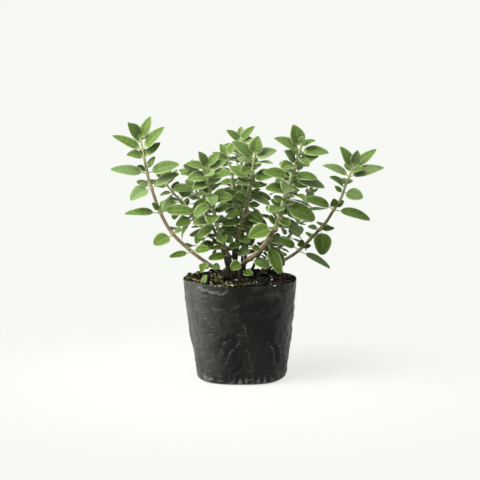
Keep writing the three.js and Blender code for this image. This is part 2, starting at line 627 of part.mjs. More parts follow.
// a collar is a short stretch of stem whose four faces bear leaves; its first leaf turns it
function gatherCollars(leaves, total) {
  const collars = [];
  let base = QUARTER / 2;
  const upwards = [...leaves].sort((a, b) => a.share - b.share || a.rank - b.rank);
  for (const leaf of upwards) {
    const turn = turnOf(leaf);
    const last = collars[collars.length - 1];
    const isNear = last !== undefined && (leaf.share - last.share) * total < COLLAR_REACH;
    const offset = (turn - base) / QUARTER - 0.5;
    const isStraight = Math.abs(offset - Math.round(offset)) < FACE_TOLERANCE;
    if (isNear && isStraight && !last.faces.has(faceOf(turn, base))) {
      last.faces.set(faceOf(turn, base), leaf);
    } else {
      const twist = turn - QUARTER / 2 - base;
      base += twist - Math.round(twist / QUARTER) * QUARTER;
      const lowest = last === undefined ? 0 : last.share + COLLAR_PITCH / total;
      collars.push({ share: Math.max(leaf.share, lowest), base,
        faces: new Map([[faceOf(turn, base), leaf]]) });
    }
  }
  return collars;
}

// the blade's skin goes on from a face of the stem: lower left, lower right, upper right, left
function growBlade(skin, leaf, [lowLeft, lowRight, highRight, highLeft]) {
  const small = leaf.rank === 2 ? LEAF_ROWS.small : LEAF_ROWS.middle;
  const rows = leaf.length > LARGE_LEAF ? LEAF_ROWS.large : small;
  const rings = rows.map((u) => skin.add([leafPoint(leaf, u, -1), leafPoint(leaf, u, 1),
    leafPoint(leaf, u, 0, KEEL)]));
  const [right, left, keel] = rings[0];
  skin.faces.push([lowRight, highRight, right], [highLeft, lowLeft, left],
    [lowLeft, lowRight, keel], [lowLeft, keel, left], [lowRight, right, keel]);
  skin.quad(highRight, highLeft, left, right);
  for (let k = 1; k < rings.length; k += 1) skin.join(rings[k - 1], rings[k]);
  skin.close(rings[rings.length - 1], leafPoint(leaf, 1, 0));
}

// rings of a bare stretch up to a share, turning evenly to a base angle
function growBare(skin, stem, path, from, share, base) {
  const steps = Math.max(1, Math.ceil((share - from.share) * path.total / STEM_STEP));
  let { ring } = from;
  for (let k = 1; k <= steps; k += 1) {
    const here = from.share + (share - from.share) * k / steps;
    const swell = k === steps ? COLLAR_SWELL : 1;
    const turned = from.base + (base - from.base) * k / steps;
    const next = skin.add(stemCorners(path, here, stemRadius(stem, here) * swell, turned));
    skin.join(ring, next);
    ring = next;
  }
  return ring;
}

function leafyStem(stem, path, leaves) {
  const skin = new Skin();
  const base = QUARTER / 2;
  const foot = FOOT_RINGS.map((length) => {
    const share = length / path.total;
    return skin.add(stemCorners(path, share, stemRadius(stem, share), base));
  });
  skin.cap(foot[0]);
  for (let k = 1; k < foot.length; k += 1) skin.join(foot[k - 1], foot[k]);
  let end = { share: FOOT_RINGS[FOOT_RINGS.length - 1] / path.total, base,
    ring: foot[foot.length - 1] };
  for (const collar of gatherCollars(leaves, path.total)) {
    const start = collar.share - COLLAR / 2 / path.total;
    const stop = start + COLLAR / path.total;
    const low = growBare(skin, stem, path, end, start, collar.base);
    const radius = stemRadius(stem, stop) * COLLAR_SWELL;
    const high = skin.add(stemCorners(path, stop, radius, collar.base));
    for (let k = 0; k < 4; k += 1) {
      const next = (k + 1) % 4;
      const face = [low[k], low[next], high[next], high[k]];
      const leaf = collar.faces.get(k);
      if (leaf) growBlade(skin, leaf, face);
      else skin.quad(...face);
    }
    end = { share: stop, base: collar.base, ring: high };
  }
  const { point, along } = atShare(path, 1);
  skin.close(end.ring, plus(point, times(along, BUD_LENGTH)));
  return skin;
}

// a plain hole for the stem: its own square section with the seat gap on every flat
function stemHole(stem, path) {
  const corner = STEM_GAP * Math.SQRT2;
  const rings = FOOT_RINGS.map((length) => {
    const share = length / path.total;
    return stemCorners(path, share, stemRadius(stem, share) + corner, QUARTER / 2);
  });
  return loft([rings[0].map((point) => minus(point, [0, 0, SEAT_GAP])), ...rings]);
}

// ---------------------------------------------------------------- bag and soil

const waves = (list, angle, height) => list.reduce((sum, { count, depth, phase, rise = 1 }) =>
  sum + depth * Math.sin(count * angle + phase + height / rise), 0);

// how far the film stands out at an angle round the bag and a height
function foldOut(angle, height) {
  const foot = Math.max(0, 1 - height / FOOT_WAVE_HEIGHT);
  return Math.min(1, height / FOLD_FREE_HEIGHT) * waves(FOLDS, angle, height)
    + Math.sqrt(foot) * waves(FOOT_WAVES, angle, 0);
}

const rimLift = (angle) => waves(RIM_WAVES, angle, 0);

function roundRing(radiusAt, heightAt) {
  const ring = [];
  for (let k = 0; k < SECTORS; k += 1) {
    const angle = k * 2 * Math.PI / SECTORS;
    const x = radiusAt(angle) * Math.cos(angle);
    const y = radiusAt(angle) * Math.sin(angle);
    ring.push([x, y, heightAt(angle, x, y)]);
  }
  return ring;
}

function wallRing([radius, height]) {
  const lift = height === BAG_HEIGHT ? rimLift : () => 0;
  return roundRing((angle) => radius + foldOut(angle, height), (angle) => height + lift(angle));
}

// the facets inside lean as the soil's do, so that the gap between them is even
function bagSkin() {
  const skin = new Skin();
  const outside = BAG_PROFILE.map((row) => skin.add(wallRing(row)));
  const wall = BAG_PROFILE.slice(FOOT_ROWS).map(([radius, height]) => [radius - FILM, height]);
  const inside = [...BAG_INNER_FOOT, ...wall].reverse().map((row) => skin.add(wallRing(row)));
  skin.cap(outside[0]);
  for (let k = 1; k < outside.length; k += 1) skin.join(outside[k - 1], outside[k]);
  skin.join(outside[outside.length - 1], inside[0]);
  for (let k = 1; k < inside.length; k += 1) skin.join(inside[k - 1], inside[k], true);
  skin.cap([...inside[inside.length - 1]].reverse());
  return skin;
}

function soilHeight(x, y) {
  const r = Math.hypot(x, y);
  const mound = CROWN_MOUND * Math.exp(-r * r / (CROWN_SPREAD * CROWN_SPREAD));
  const lumps = LUMPS.depth * Math.sin(x / LUMPS.x + LUMPS.startX)
    * Math.sin(y / LUMPS.y + LUMPS.startY);
  const swells = SWELLS.depth * Math.sin(x / SWELLS.x - y / SWELLS.y + SWELLS.start);
  return SOIL_TOP + mound + lumps + swells;
}

function soilSkin() {
  const side = BAG_PROFILE.slice(FOOT_ROWS, -1)
    .map(([radius, height]) => [radius - FILM - SEAT_GAP, height]);
  const wall = [...SOIL_FOOT, ...side].map(wallRing);
  const surface = [...SOIL_RINGS].reverse()
    .map((radius) => roundRing(() => radius, (_, x, y) => soilHeight(x, y)));
  return loft([...wall, ...surface], [0, 0, soilHeight(0, 0)]);
}

const wasm = await Module();
wasm.setup();

function solidOf(skin) {
  return new wasm.Manifold(new wasm.Mesh({
    numProp: 3,
    vertProperties: new Float32Array(skin.points.flat()),
    triVerts: new Uint32Array(skin.faces.flat()),
  }));
}

// ---------------------------------------------------------------- the assembly

function meshOf(name, positions, faces, colour, roughness) {
  const geometry = new THREE.BufferGeometry();
  geometry.setAttribute('position', new THREE.Float32BufferAttribute(positions, 3));
  geometry.setIndex([...faces]);
  const material = new THREE.MeshStandardMaterial({ color: colour, roughness, metalness: 0 });
  const mesh = new THREE.Mesh(geometry, material);
  mesh.name = name;
  return mesh;
}

const group = new THREE.Group();
const paths = STEMS.map((stem) => walk(stem.route));
const leaves = growLeaves(paths);

const bag = bagSkin();
group.add(meshOf('grow_bag', bag.points.flat(), bag.faces.flat(), BAG_BLACK, 0.45));

const soil = STEMS.reduce((body, stem, i) => body.subtract(solidOf(stemHole(stem, paths[i]))),
  solidOf(soilSkin())).getMesh();
group.add(meshOf('potting_soil', soil.vertProperties, soil.triVerts, SOIL_BROWN, 0.95));

STEMS.forEach((stem, i) => {
  const skin = leafyStem(stem, paths[i], leaves[i]);
  group.add(meshOf(stem.name, skin.points.flat(), skin.faces.flat(), LEAF_GREEN, 0.7));
});

export default group;
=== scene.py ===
"""Oregano in a nursery grow bag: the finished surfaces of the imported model.

Every sprig repeats the CAD's own growth rule, so each fine leaf lies where its solid does.
The plant, the bag and the soil are worked out in millimetres and become metres in their meshes.
"""

from math import cos, exp, floor, hypot, pi, radians, sin, sqrt

import bmesh
import bpy
import numpy as np
from mathutils import Euler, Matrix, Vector, noise


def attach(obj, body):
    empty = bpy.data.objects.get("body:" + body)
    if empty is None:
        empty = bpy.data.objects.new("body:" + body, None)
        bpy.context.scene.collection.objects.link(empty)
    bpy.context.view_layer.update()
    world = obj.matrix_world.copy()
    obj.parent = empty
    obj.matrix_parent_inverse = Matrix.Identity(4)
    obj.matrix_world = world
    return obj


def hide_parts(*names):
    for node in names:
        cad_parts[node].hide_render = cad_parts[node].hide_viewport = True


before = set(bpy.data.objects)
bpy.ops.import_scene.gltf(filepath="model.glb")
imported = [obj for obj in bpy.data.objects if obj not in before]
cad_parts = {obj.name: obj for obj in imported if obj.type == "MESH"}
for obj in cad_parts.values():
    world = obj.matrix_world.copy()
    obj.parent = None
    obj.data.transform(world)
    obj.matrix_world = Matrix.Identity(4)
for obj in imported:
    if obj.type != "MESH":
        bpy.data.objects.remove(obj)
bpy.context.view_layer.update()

MM = 0.001

# route: points from the foot of the stem, sunk in the soil, to its growing tip
# face: the side that the blades look to, beside up
# leaf: length of the longest leaf with its stalk
# placed: leaves listed one by one: height of the node, then the tip from there in x, y and z, width
# first, pairs: share of the stem where the first pair sits, and how many pairs follow by rule
# apex: pairs of small leaves round the growing tip
STEMS = [
  dict(name="stem_left_outer", seed=900, foot=1.8, leaf=24, face=(-0.1, -1),
    route=[(-6, -13, 87), (-11, -12, 99), (-19, -10, 107), (-32, -9, 116), (-47, -8, 127),
      (-67, -8, 146), (-79, -8, 167), (-88, -6, 192), (-92, -5, 206), (-96, -5, 228),
      (-99, -4, 243)],
    placed=[(239, 10, 3, 23, 10), (229, 22, -7, 23, 12), (229, -30, 2, 14, 10),
      (241, -12, -11, 12, 12), (235, -14, 12, 21, 8), (238, 1, 12, 17, 9),
      (222, 16, 3, 14, 8), (222, -17, -6, 4, 10), (206, -36, -3, 4, 11), (206, 32, -4, 9, 13),
      (208, -9, -3, 7, 7), (208, 2, -7, 8, 6), (210, 7, 3, 13, 6), (221, -1, 15, 8, 10),
      (191, -20, -10, -11, 15), (191, 27, 4, 14, 10), (193, -13, 2, 7, 7), (193, 3, 17, 5, 12),
      (167, -35, -3, -1, 10), (167, 34, -4, 1, 12), (169, -7, -4, 8, 6), (169, 5, -4, 11, 7),
      (145, -19, -8, -9, 15), (146, -16, 3, 5, 7), (146, 10, -3, 4, 5), (148, 4, 17, 2, 13),
      (128, -22, -4, -5, 7), (128, 18, -6, 3, 10), (131, 5, 15, 1, 11),
      (117, -4, -26, -6, 8), (114, -9, -3, -2, 6), (114, 9, -6, -2, 7)]),
  dict(name="stem_right_outer", seed=621, foot=1.65, leaf=24, face=(0.1, -1),
    route=[(10, -1, 87), (16, 0, 101), (28, 2, 109), (45, 4, 118), (59, 6, 127), (76, 8, 144),
      (86, 8, 155), (94, 8, 168), (101, 6, 180), (105, 4, 192), (109, 3, 202), (114, 2, 216)],
    placed=[(118, -6, -4, 8, 5), (127, -22, 2, 11, 9), (127, 31, -7, -17, 8),
      (129, 0, -5, 10, 7), (130, 9, 4, 2, 5), (148, -12, -3, 3, 6), (148, 15, 3, 1, 6),
      (149, 1, -12, -25, 16), (168, -30, -3, 11, 11), (168, 36, -4, -10, 11),
      (170, -2, -6, 10, 8), (170, 9, 3, 7, 6), (186, 19, -8, -5, 13), (185, -8, 3, 7, 5),
      (191, -16, -8, 11, 9), (202, -27, -3, 11, 10), (202, 34, -3, 9, 11),
      (206, 12, -11, 4, 9), (206, -6, 12, 8, 9), (211, -13, -2, 21, 10), (211, 24, 5, 18, 10),
      (214, 3, -9, 15, 9), (138, 2, 16, 4, 11), (150, 4, 16, 2, 13), (192, 3, 17, 6, 12)]),
  dict(name="stem_left_front", seed=328, foot=1.7, leaf=25, face=(-0.1, -1.05),
    route=[(-7, -4, 87), (-8, -4, 104), (-10, -5, 120), (-16, -7, 135), (-22, -11, 152),
      (-27, -15, 174), (-30, -18, 190), (-31, -20, 204), (-33, -21, 217)],
    placed=[(214, -8, -6, 15, 9), (214, 12, 5, 13, 9), (213, -21, -4, 4, 9),
      (209, 19, 4, 11, 9), (205, 23, -5, 5, 11), (204, -20, -7, -2, 13), (198, -15, -9, -6, 12),
      (181, 21, -8, 2, 12), (167, 18, -7, 8, 8), (161, -22, -6, -4, 10),
      (143, 12, -4, -5, 9), (124, -20, -8, -3, 9)],
    first=0.34, pairs=8, apex=1),
  dict(name="stem_right_front", seed=665, foot=2.4, leaf=27, face=(0.05, -1.05),
    route=[(1, -8, 87), (0, -9, 104), (3, -11, 116), (14, -16, 125), (25, -22, 138),
      (34, -26, 153), (39, -30, 166), (44, -34, 185), (52, -38, 211), (58, -40, 231),
      (60, -40, 240)],
    placed=[(235, -8, -2, 21, 13), (235, 15, -2, 12, 9), (237, 3, -9, 9, 8),
      (230, -25, -3, 13, 11), (230, 28, -3, -1, 11), (219, -12, -8, 12, 11), (219, 22, -4, 8, 10),
      (204, 32, -4, -9, 11), (204, -28, -4, 6, 12), (191, -21, -9, 3, 13), (176, 31, -6, -13, 16),
      (168, 27, 3, -2, 11), (165, 21, -2, -17, 9), (155, -26, -10, -9, 15), (158, -9, -8, 8, 9),
      (143, 13, 4, -2, 9), (139, 14, -8, -30, 11), (139, 18, 6, -24, 10), (133, -9, -9, 0, 8),
      (122, 19, -6, -8, 10), (117, -13, -6, -5, 10), (109, 12, -8, -3, 8)],
    first=0.4, pairs=9, apex=1),
  dict(name="stem_middle", seed=354, foot=2, leaf=26, face=(0, -1.05),
    route=[(-2, 0, 87), (-4, 1, 107), (-6, 3, 124), (-3, 4, 138), (1, 5, 152), (5, 6, 163),
      (8, 6, 181), (11, 4, 198), (13, 2, 213), (16, 0, 228)],
    placed=[(224, 3, -6, 19, 13), (221, 22, -3, 7, 11), (219, -22, -2, 18, 12),
      (178, -14, -7, 5, 11), (165, 17, -6, -8, 12), (149, -18, -8, 0, 10),
      (134, 15, -5, 3, 8), (125, 16, -9, 2, 10)],
    first=0.38, pairs=9, apex=1),
  dict(name="stem_middle_back", seed=365, foot=1.6, leaf=26, face=(0, -0.9),
    route=[(3, 7.5, 87), (5, 10, 115), (8, 22, 141), (7, 32, 170), (3, 38, 200), (1, 40, 221),
      (0, 40, 236)],
    placed=[(235, -14, -2, 11, 8), (235, 15, -2, 15, 8), (236, 1, 10, 13, 7),
      (233, 15, -6, 3, 9), (233, -12, -9, 3, 9)],
    first=0.28, pairs=9, apex=1),
  dict(name="stem_left_of_middle", seed=701, foot=1.5, leaf=26, face=(-0.1, -0.9),
    route=[(-4, 8, 87), (-4, 11, 113), (-2, 18, 136), (-4, 24, 161), (-6, 28, 184),
      (-8, 30, 202), (-13, 32, 222)],
    placed=[(219, -8, 6, 13, 8), (221, 8, 0, 15, 8), (214, -17, -4, 10, 8)],
    first=0.28, pairs=9, apex=1),
  dict(name="stem_left_back", seed=392, foot=1.5, leaf=26, face=(-0.2, -0.9),
    route=[(-10, 4, 87), (-11, 5, 108), (-13, 7, 121), (-22, 11, 133), (-32, 16, 143),
      (-48, 20, 160), (-63, 24, 178), (-74, 26, 191), (-80, 27, 201)],
    placed=[(158, -17, -8, -8, 13), (186, 22, -6, 1, 10), (190, -14, 2, 1, 8),
      (196, 9, -3, 15, 9), (197, -8, 6, 11, 8), (134, -19, -6, -5, 9)],
    first=0.24, pairs=9, apex=1),
  dict(name="stem_far_left", seed=413, foot=1.5, leaf=28, face=(-0.2, -0.35),
    route=[(-11, 12, 87), (-13, 17, 107), (-20, 32, 130), (-34, 50, 157), (-47, 60, 186),
      (-53, 64, 206)],
    placed=[], first=0.3, pairs=8, apex=4),
  dict(name="stem_far_right", seed=425, foot=1.5, leaf=28, face=(0.2, -0.35),
    route=[(8, 8.5, 87), (12, 12, 106), (24, 26, 128), (41, 42, 156), (55, 53, 186),
      (61, 58, 207)],
    placed=[], first=0.3, pairs=7, apex=4),
  dict(name="stem_far_back", seed=437, foot=1.5, leaf=28, face=(0, -0.2),
    route=[(2, 14.5, 87), (2, 20, 110), (3, 38, 132), (1, 60, 166), (-2, 72, 200),
      (-4, 76, 222)],
    placed=[], first=0.28, pairs=7, apex=4),
  dict(name="stem_right_back", seed=224, foot=1.5, leaf=26, face=(0.2, -0.35),
    route=[(15.5, 5, 87), (21, 8, 104), (32, 22, 119), (52, 40, 139), (67, 54, 164),
      (73, 60, 181)],
    placed=[], first=0.26, pairs=6, apex=4),
]

THINNING = 0.6            # share of a stem's radius that is gone at its tip
THIN_TOP = 5              # power of the height: it keeps its girth until near the tip
FINE_STEPS = 12           # stretches of a stem's curve between two points of its route
TANGENT_REACH = 4         # curve points on each side that give a stem's direction
FIRST_TURN = 180          # degrees round the stem: 0 is +X, 90 is away from the front

# a leaf's habit. A pair of numbers is the middle value and the spread round it; lengths and
# widths are shares, look is the tilt of the face to the right and away, the rest is degrees;
# start is how far the lowest pair of a stem is turned.
PLACED = dict(widen=1.15, bend=(30, 14), fold=(0.32, 0.1), look=0.2)
PAIR = dict(start=45, turn=14, side_turn=12, side_length=0.1, opening=(76, 20), closing=22,
            width=(0.66, 0.07), narrowing=0.12, bend=(34, 20), fold=(0.28, 0.1), look=0.8)
SHOOT = dict(length=0.2, turn=18, opening=(52, 14), width=(0.66, 0.08), bend=(24, 12),
             fold=(0.28, 0), look=0.7)
APEX = dict(length=0.12, turn=14, opening=7, width=(0.56, 0.05), bend=(22, 10),
            fold=(0.28, 0), look=0.3)

# size of a pair against the stem's longest leaf: the lowest are small, then they swell, and
# they lose a little again towards the tip
LOWEST_PAIR = 0.62
PAIR_SWELL = 0.38
SWELL_AT_TIP = 0.92       # how much of the swell's rise and fall is over at the tip
TIP_LOSS = 0.1
PAIR_CROWDING = 0.2       # how much closer the pairs stand at the tip
FULL_APEX = 4             # pairs round a tip that has no placed leaves
PLACED_TIP_SHARE = 0.9    # where the rule stops below a tip with placed leaves

DROOP = 200               # the longer a leaf, the more its weight turns it down
FACE_ALONG = 0.3          # how much its face looks up the stem

# pairs round a growing tip: how far up the stem they sit, length and opening angle
APEX_PAIRS = [(0.94, 18, 56), (0.968, 15, 44), (0.985, 11, 30), (0.997, 7.5, 15)]
LAST_PAIR_SHARE = 0.93

# small leaves of the side shoots in a pair's angles: turn from the pair, height above, size
SHOOTS = [(90, 1.7, 0.52), (270, 1.7, 0.52), (20, 5.2, 0.42), (200, 5.2, 0.42)]
SHOOTS_TO = 0.62
HIGHEST_SHOOT = 0.99
SHORTEST_LEAF = 7
LEAST_OPENING = radians(40)

# what a leaf tries in turn until it is clear: turn to one side and then to the other, opening,
# size
TRIES = [(way * turn, opening, size)
         for turn, opening, size in ((0, 0, 1), (14, 0, 1), (0, 12, 1), (0, -14, 1), (26, 0, 1),
                                     (14, 14, 0.85), (14, -16, 0.85), (38, 0, 0.8), (0, 0, 0.7),
                                     (24, 16, 0.7), (24, -18, 0.7), (50, 0, 0.6))
         for way in ((1, -1) if turn else (1,))]

PETIOLE = 0.2             # stalk's share of a leaf at the foot of a stem
PETIOLE_LOSS = 0.7        # share of it that is gone at the growing tip
PETIOLE_HALF_WIDTH = 0.5
LEAF_TOP = 4              # power of the height: leaves change their form near the tip
# powers that shape the outline: where it is widest, how it narrows to both ends, and how much
# blunter a low leaf ends; the leaves at the growing tip stay pointed
WIDEST = 0.76
TAPER = 0.74
TIP_ROUNDING = 0.27

# how far the middle surface of a leaf stays from that of a leaf, and from the outside of a stem,
# that is on another stem; then the same on its own stem, past its own root
CLEARANCE = (3.1, 1.7)
CLEARANCE_BY_RULE = (2.3, 0.7)
CLEARANCE_PLACED = (1, 0.2)
ROOM_CELL = 4.6           # over the largest clearance from a stem's middle line
SAMPLE_STEP = 2
ROOT_OUT = 0.8            # share of the stem's radius at which a leaf's root lies
ROOT_REACH = 2.4          # over the stem's radius from its node a leaf is not tested
RIM_CLEAR_RADIUS = 62
RIM_CLEAR_HEIGHT = 103.2


def plus(a, b):
    return (a[0] + b[0], a[1] + b[1], a[2] + b[2])


def minus(a, b):
    return (a[0] - b[0], a[1] - b[1], a[2] - b[2])


def times(a, k):
    return (a[0] * k, a[1] * k, a[2] * k)


def dot(a, b):
    return a[0] * b[0] + a[1] * b[1] + a[2] * b[2]


def cross(a, b):
    return (a[1] * b[2] - a[2] * b[1], a[2] * b[0] - a[0] * b[2], a[0] * b[1] - a[1] * b[0])


def unit(a):
    return times(a, 1 / sqrt(dot(a, a)))


def across(a, axis):
    return unit(minus(a, times(axis, dot(a, axis))))


# seeded draws, the same on every run: up to an amount on both sides of nought
DRAW = dict(start=7919, factor=1664525, addend=1013904223, range=2 ** 32)


def seeded_spread(seed):
    state = seed * DRAW['start']

    def spread(amount):
        nonlocal state
        state = (state * DRAW['factor'] + DRAW['addend']) % DRAW['range']
        return (state / DRAW['range'] * 2 - 1) * amount
    return spread


def curve_point(points, t):
    """A Catmull-Rom curve through the points."""
    last = len(points) - 1
    i = min(floor(t), last - 1)
    f = t - i
    b, c = points[i], points[i + 1]
    a = points[i - 1] if i > 0 else minus(times(b, 2), c)
    d = points[i + 2] if i + 2 <= last else minus(times(c, 2), b)
    return tuple(0.5 * (2 * b[k] + (c[k] - a[k]) * f
                        + (2 * a[k] - 5 * b[k] + 4 * c[k] - d[k]) * f * f
                        + (3 * b[k] - a[k] - 3 * c[k] + d[k]) * f * f * f) for k in range(3))


class Path:
    """A stem's middle line, measured along its length."""

    def __init__(self, route):
        steps = (len(route) - 1) * FINE_STEPS
        self.points = [curve_point(route, k / FINE_STEPS) for k in range(steps + 1)]
        self.lengths = [0.0]
        for a, b in zip(self.points, self.points[1:]):
            step = minus(b, a)
            self.lengths.append(self.lengths[-1] + sqrt(dot(step, step)))
        self.total = self.lengths[-1]

    def between(self, k, f):
        low = self.points[max(0, k - 1 - TANGENT_REACH)]
        high = self.points[min(len(self.points) - 1, k + TANGENT_REACH)]
        a, b = self.points[k - 1], self.points[k]
        length = self.lengths[k - 1] + (self.lengths[k] - self.lengths[k - 1]) * f
        return dict(point=plus(a, times(minus(b, a), f)), along=unit(minus(high, low)),
                    share=length / self.total)

    def at_share(self, share):
        goal = share * self.total
        k = 1
        while k < len(self.points) - 1 and self.lengths[k] < goal:
            k += 1
        return self.between(k, (goal - self.lengths[k - 1]) / (self.lengths[k] - self.lengths[k - 1]))

    def at_height(self, height):
        k = 1
        while k < len(self.points) - 1 and self.points[k][2] < height:
            k += 1
        low, high = self.points[k - 1][2], self.points[k][2]
        return self.between(k, (height - low) / (high - low))


def stem_radius(stem, share):
    return stem['foot'] * (1 - THINNING * share ** THIN_TOP)


# root: the node it grows from; d: the direction it sets out in; n: the side its face looks to
def petiole_share(leaf):
    return PETIOLE * (1 - PETIOLE_LOSS * leaf['share'] ** LEAF_TOP)


def half_width(leaf, u):
    petiole = petiole_share(leaf)
    if u <= petiole:
        return PETIOLE_HALF_WIDTH
    q = (u - petiole) / (1 - petiole)
    power = TAPER - TIP_ROUNDING * q * (1 - leaf['share'] ** LEAF_TOP)
    swell = max(0.0, sin(pi * q ** WIDEST)) ** power
    return PETIOLE_HALF_WIDTH * (1 - q) + (leaf['width'] / 2 - PETIOLE_HALF_WIDTH / 2) * swell


def leaf_point(leaf, u, v):
    angle = leaf['bend'] * u
    forward = leaf['length'] * sin(angle) / leaf['bend']
    down = leaf['length'] * (1 - cos(angle)) / leaf['bend']
    side = cross(leaf['d'], leaf['n'])
    up = plus(times(leaf['d'], sin(angle)), times(leaf['n'], cos(angle)))
    middle = plus(leaf['root'], minus(times(leaf['d'], forward), times(leaf['n'], down)))
    half = half_width(leaf, u)
    return plus(middle, plus(times(side, v * half), times(up, leaf['fold'] * abs(v) * half)))


def leaf_samples(leaf):
    rows = max(3, floor(leaf['length'] / SAMPLE_STEP + 0.5))
    points = []
    for i in range(rows + 1):
        columns = floor(2 * half_width(leaf, i / rows) / SAMPLE_STEP + 0.5)
        if columns < 1:
            points.append(leaf_point(leaf, i / rows, 0))
            continue
        points.extend(leaf_point(leaf, i / rows, -1 + 2 * j / columns) for j in range(columns + 1))
    return points


class Room:
    """Where stems and leaves already are."""

    def __init__(self):
        self.cells = {}

    def cell(self, point):
        return tuple(floor(value / ROOM_CELL) for value in point)

    def take(self, points, stem, radius):
        for point in points:
            self.cells.setdefault(self.cell(point), []).append((point, stem, radius))

    def is_near(self, point, other, stem, own):
        place, other_stem, radius = other
        leaf, outside = own if other_stem == stem else CLEARANCE
        limit = outside + radius if radius > 0 else leaf
        gap = minus(point, place)
        return dot(gap, gap) < limit * limit

    def is_free(self, points, stem, own):
        for point in points:
            if hypot(point[0], point[1]) < RIM_CLEAR_RADIUS and point[2] < RIM_CLEAR_HEIGHT:
                return False
            x, y, z = self.cell(point)
            for i in (x - 1, x, x + 1):
                for j in (y - 1, y, y + 1):
                    for k in (z - 1, z, z + 1):
                        others = self.cells.get((i, j, k), ())
                        if any(self.is_near(point, other, stem, own) for other in others):
                            return False
        return True


def near(value, spread):
    middle, amount = value
    return middle + spread(amount) if amount else middle


def posture(habit, spread):
    """How a blade bends, folds and faces; these draws come after the leaf's others."""
    return dict(bend=radians(near(habit['bend'], spread)), fold=near(habit['fold'], spread),
                look=(spread(habit['look']), spread(habit['look'])))


def placed_wishes(stem, path, spread):
    return [dict(rank=0, **path.at_height(height), tip=(x, y, z), width=width * PLACED['widen'],
                 **posture(PLACED, spread)) for height, x, y, z, width in stem['placed']]


def pair_wishes(stem, path, spread):
    wishes = []
    first, pairs = stem['first'], stem['pairs']
    top = LAST_PAIR_SHARE if stem['apex'] == FULL_APEX else PLACED_TIP_SHARE
    start = FIRST_TURN + spread(PAIR['start'])
    for k in range(pairs):
        t = k / pairs
        climb = t * (1 + PAIR_CROWDING - PAIR_CROWDING * t) * pairs / (pairs - 1)
        share = min(LAST_PAIR_SHARE, first + (top - first) * climb)
        height = (share - first) / (1 - first)
        swell = sin(pi * SWELL_AT_TIP * t)
        size = stem['leaf'] * (LOWEST_PAIR + PAIR_SWELL * swell) * (1 - TIP_LOSS * t * t)
        turn = radians(start + 90 * k + spread(PAIR['turn']))
        for side in (0, 1):
            length = size * (1 + spread(PAIR['side_length']))
            wishes.append(dict(
                rank=1, **path.at_share(share), length=length,
                turn=turn + pi * side + radians(spread(PAIR['side_turn'])),
                opening=radians(near(PAIR['opening'], spread) - PAIR['closing'] * height),
                width=length * (near(PAIR['width'], spread) - PAIR['narrowing'] * height),
                **posture(PAIR, spread)))
        for shoot_turn, above, shoot_size in SHOOTS if height < SHOOTS_TO else SHOOTS[:2]:
            length = max(SHORTEST_LEAF, shoot_size * size * (1 + spread(SHOOT['length'])))
            place = min(HIGHEST_SHOOT, (share * path.total + above) / path.total)
            wishes.append(dict(
                rank=2, **path.at_share(place), length=length,
                turn=turn + radians(shoot_turn + spread(SHOOT['turn'])),
                opening=radians(near(SHOOT['opening'], spread)),
                width=length * near(SHOOT['width'], spread), **posture(SHOOT, spread)))
    return wishes


def apex_wishes(stem, path, spread):
    wishes = []
    for k, (share, size, opening) in enumerate(APEX_PAIRS[len(APEX_PAIRS) - stem['apex']:]):
        for side in (0, 1):
            length = size * (1 + spread(APEX['length']))
            wishes.append(dict(
                rank=2, **path.at_share(share), length=length,
                turn=radians(FIRST_TURN + 90 * k + 180 * side + spread(APEX['turn'])),
                opening=radians(opening + spread(APEX['opening'])),
                width=length * near(APEX['width'], spread), **posture(APEX, spread)))
    return wishes


def light_on(stem, wish):
    return unit((stem['face'][0] + wish['look'][0], stem['face'][1] + wish['look'][1], 1))


def aim_at_tip(wish, stem, turn, size):
    light = light_on(stem, wish)
    offset = times(across(wish['tip'], wish['along']), ROOT_OUT * stem_radius(stem, wish['share']))
    reach = minus(wish['tip'], offset)
    straight = unit(reach)
    side = unit(cross(straight, light))
    chord = unit(plus(times(straight, cos(turn / 2)), times(side, sin(turn / 2))))
    n = across(light, chord)
    half = wish['bend'] / 2
    return dict(root=plus(wish['point'], offset), d=plus(times(chord, cos(half)), times(n, sin(half))),
                n=minus(times(n, cos(half)), times(chord, sin(half))),
                length=sqrt(dot(reach, reach)) * size * half / sin(half))


def open_from_stem(wish, stem, turn, opening, size):
    first = across((1, 0, 0), wish['along'])
    second = cross(wish['along'], first)
    around = wish['turn'] + turn
    out = plus(times(first, cos(around)), times(second, sin(around)))
    angle = max(min(wish['opening'], LEAST_OPENING), wish['opening'] + opening)
    start = plus(times(wish['along'], cos(angle)), times(out, sin(angle)))
    length = wish['length'] * size
    d = unit(minus(start, (0, 0, length / DROOP)))
    root = plus(wish['point'], times(out, ROOT_OUT * stem_radius(stem, wish['share'])))
    n = across(plus(light_on(stem, wish), times(wish['along'], FACE_ALONG)), d)
    return dict(root=root, d=d, n=n, length=length)


def grow_leaf(room, wish, stem):
    for turn, opening, size in TRIES:
        if 'tip' in wish:
            aim = aim_at_tip(wish, stem, radians(turn), size)
        else:
            aim = open_from_stem(wish, stem, radians(turn), radians(opening), size)
        leaf = {**wish, **aim, 'width': wish['width'] * size}
        samples = leaf_samples(leaf)
        root_reach = ROOT_REACH + stem_radius(stem, wish['share'])
        reaches = [minus(point, leaf['root']) for point in samples]
        blade = [point for point, reach in zip(samples, reaches)
                 if dot(reach, reach) > root_reach * root_reach]
        own = CLEARANCE_PLACED if wish['rank'] == 0 else CLEARANCE_BY_RULE
        if room.is_free(blade, stem['seed'], own):
            room.take(samples, stem['seed'], 0)
            return leaf
    return None


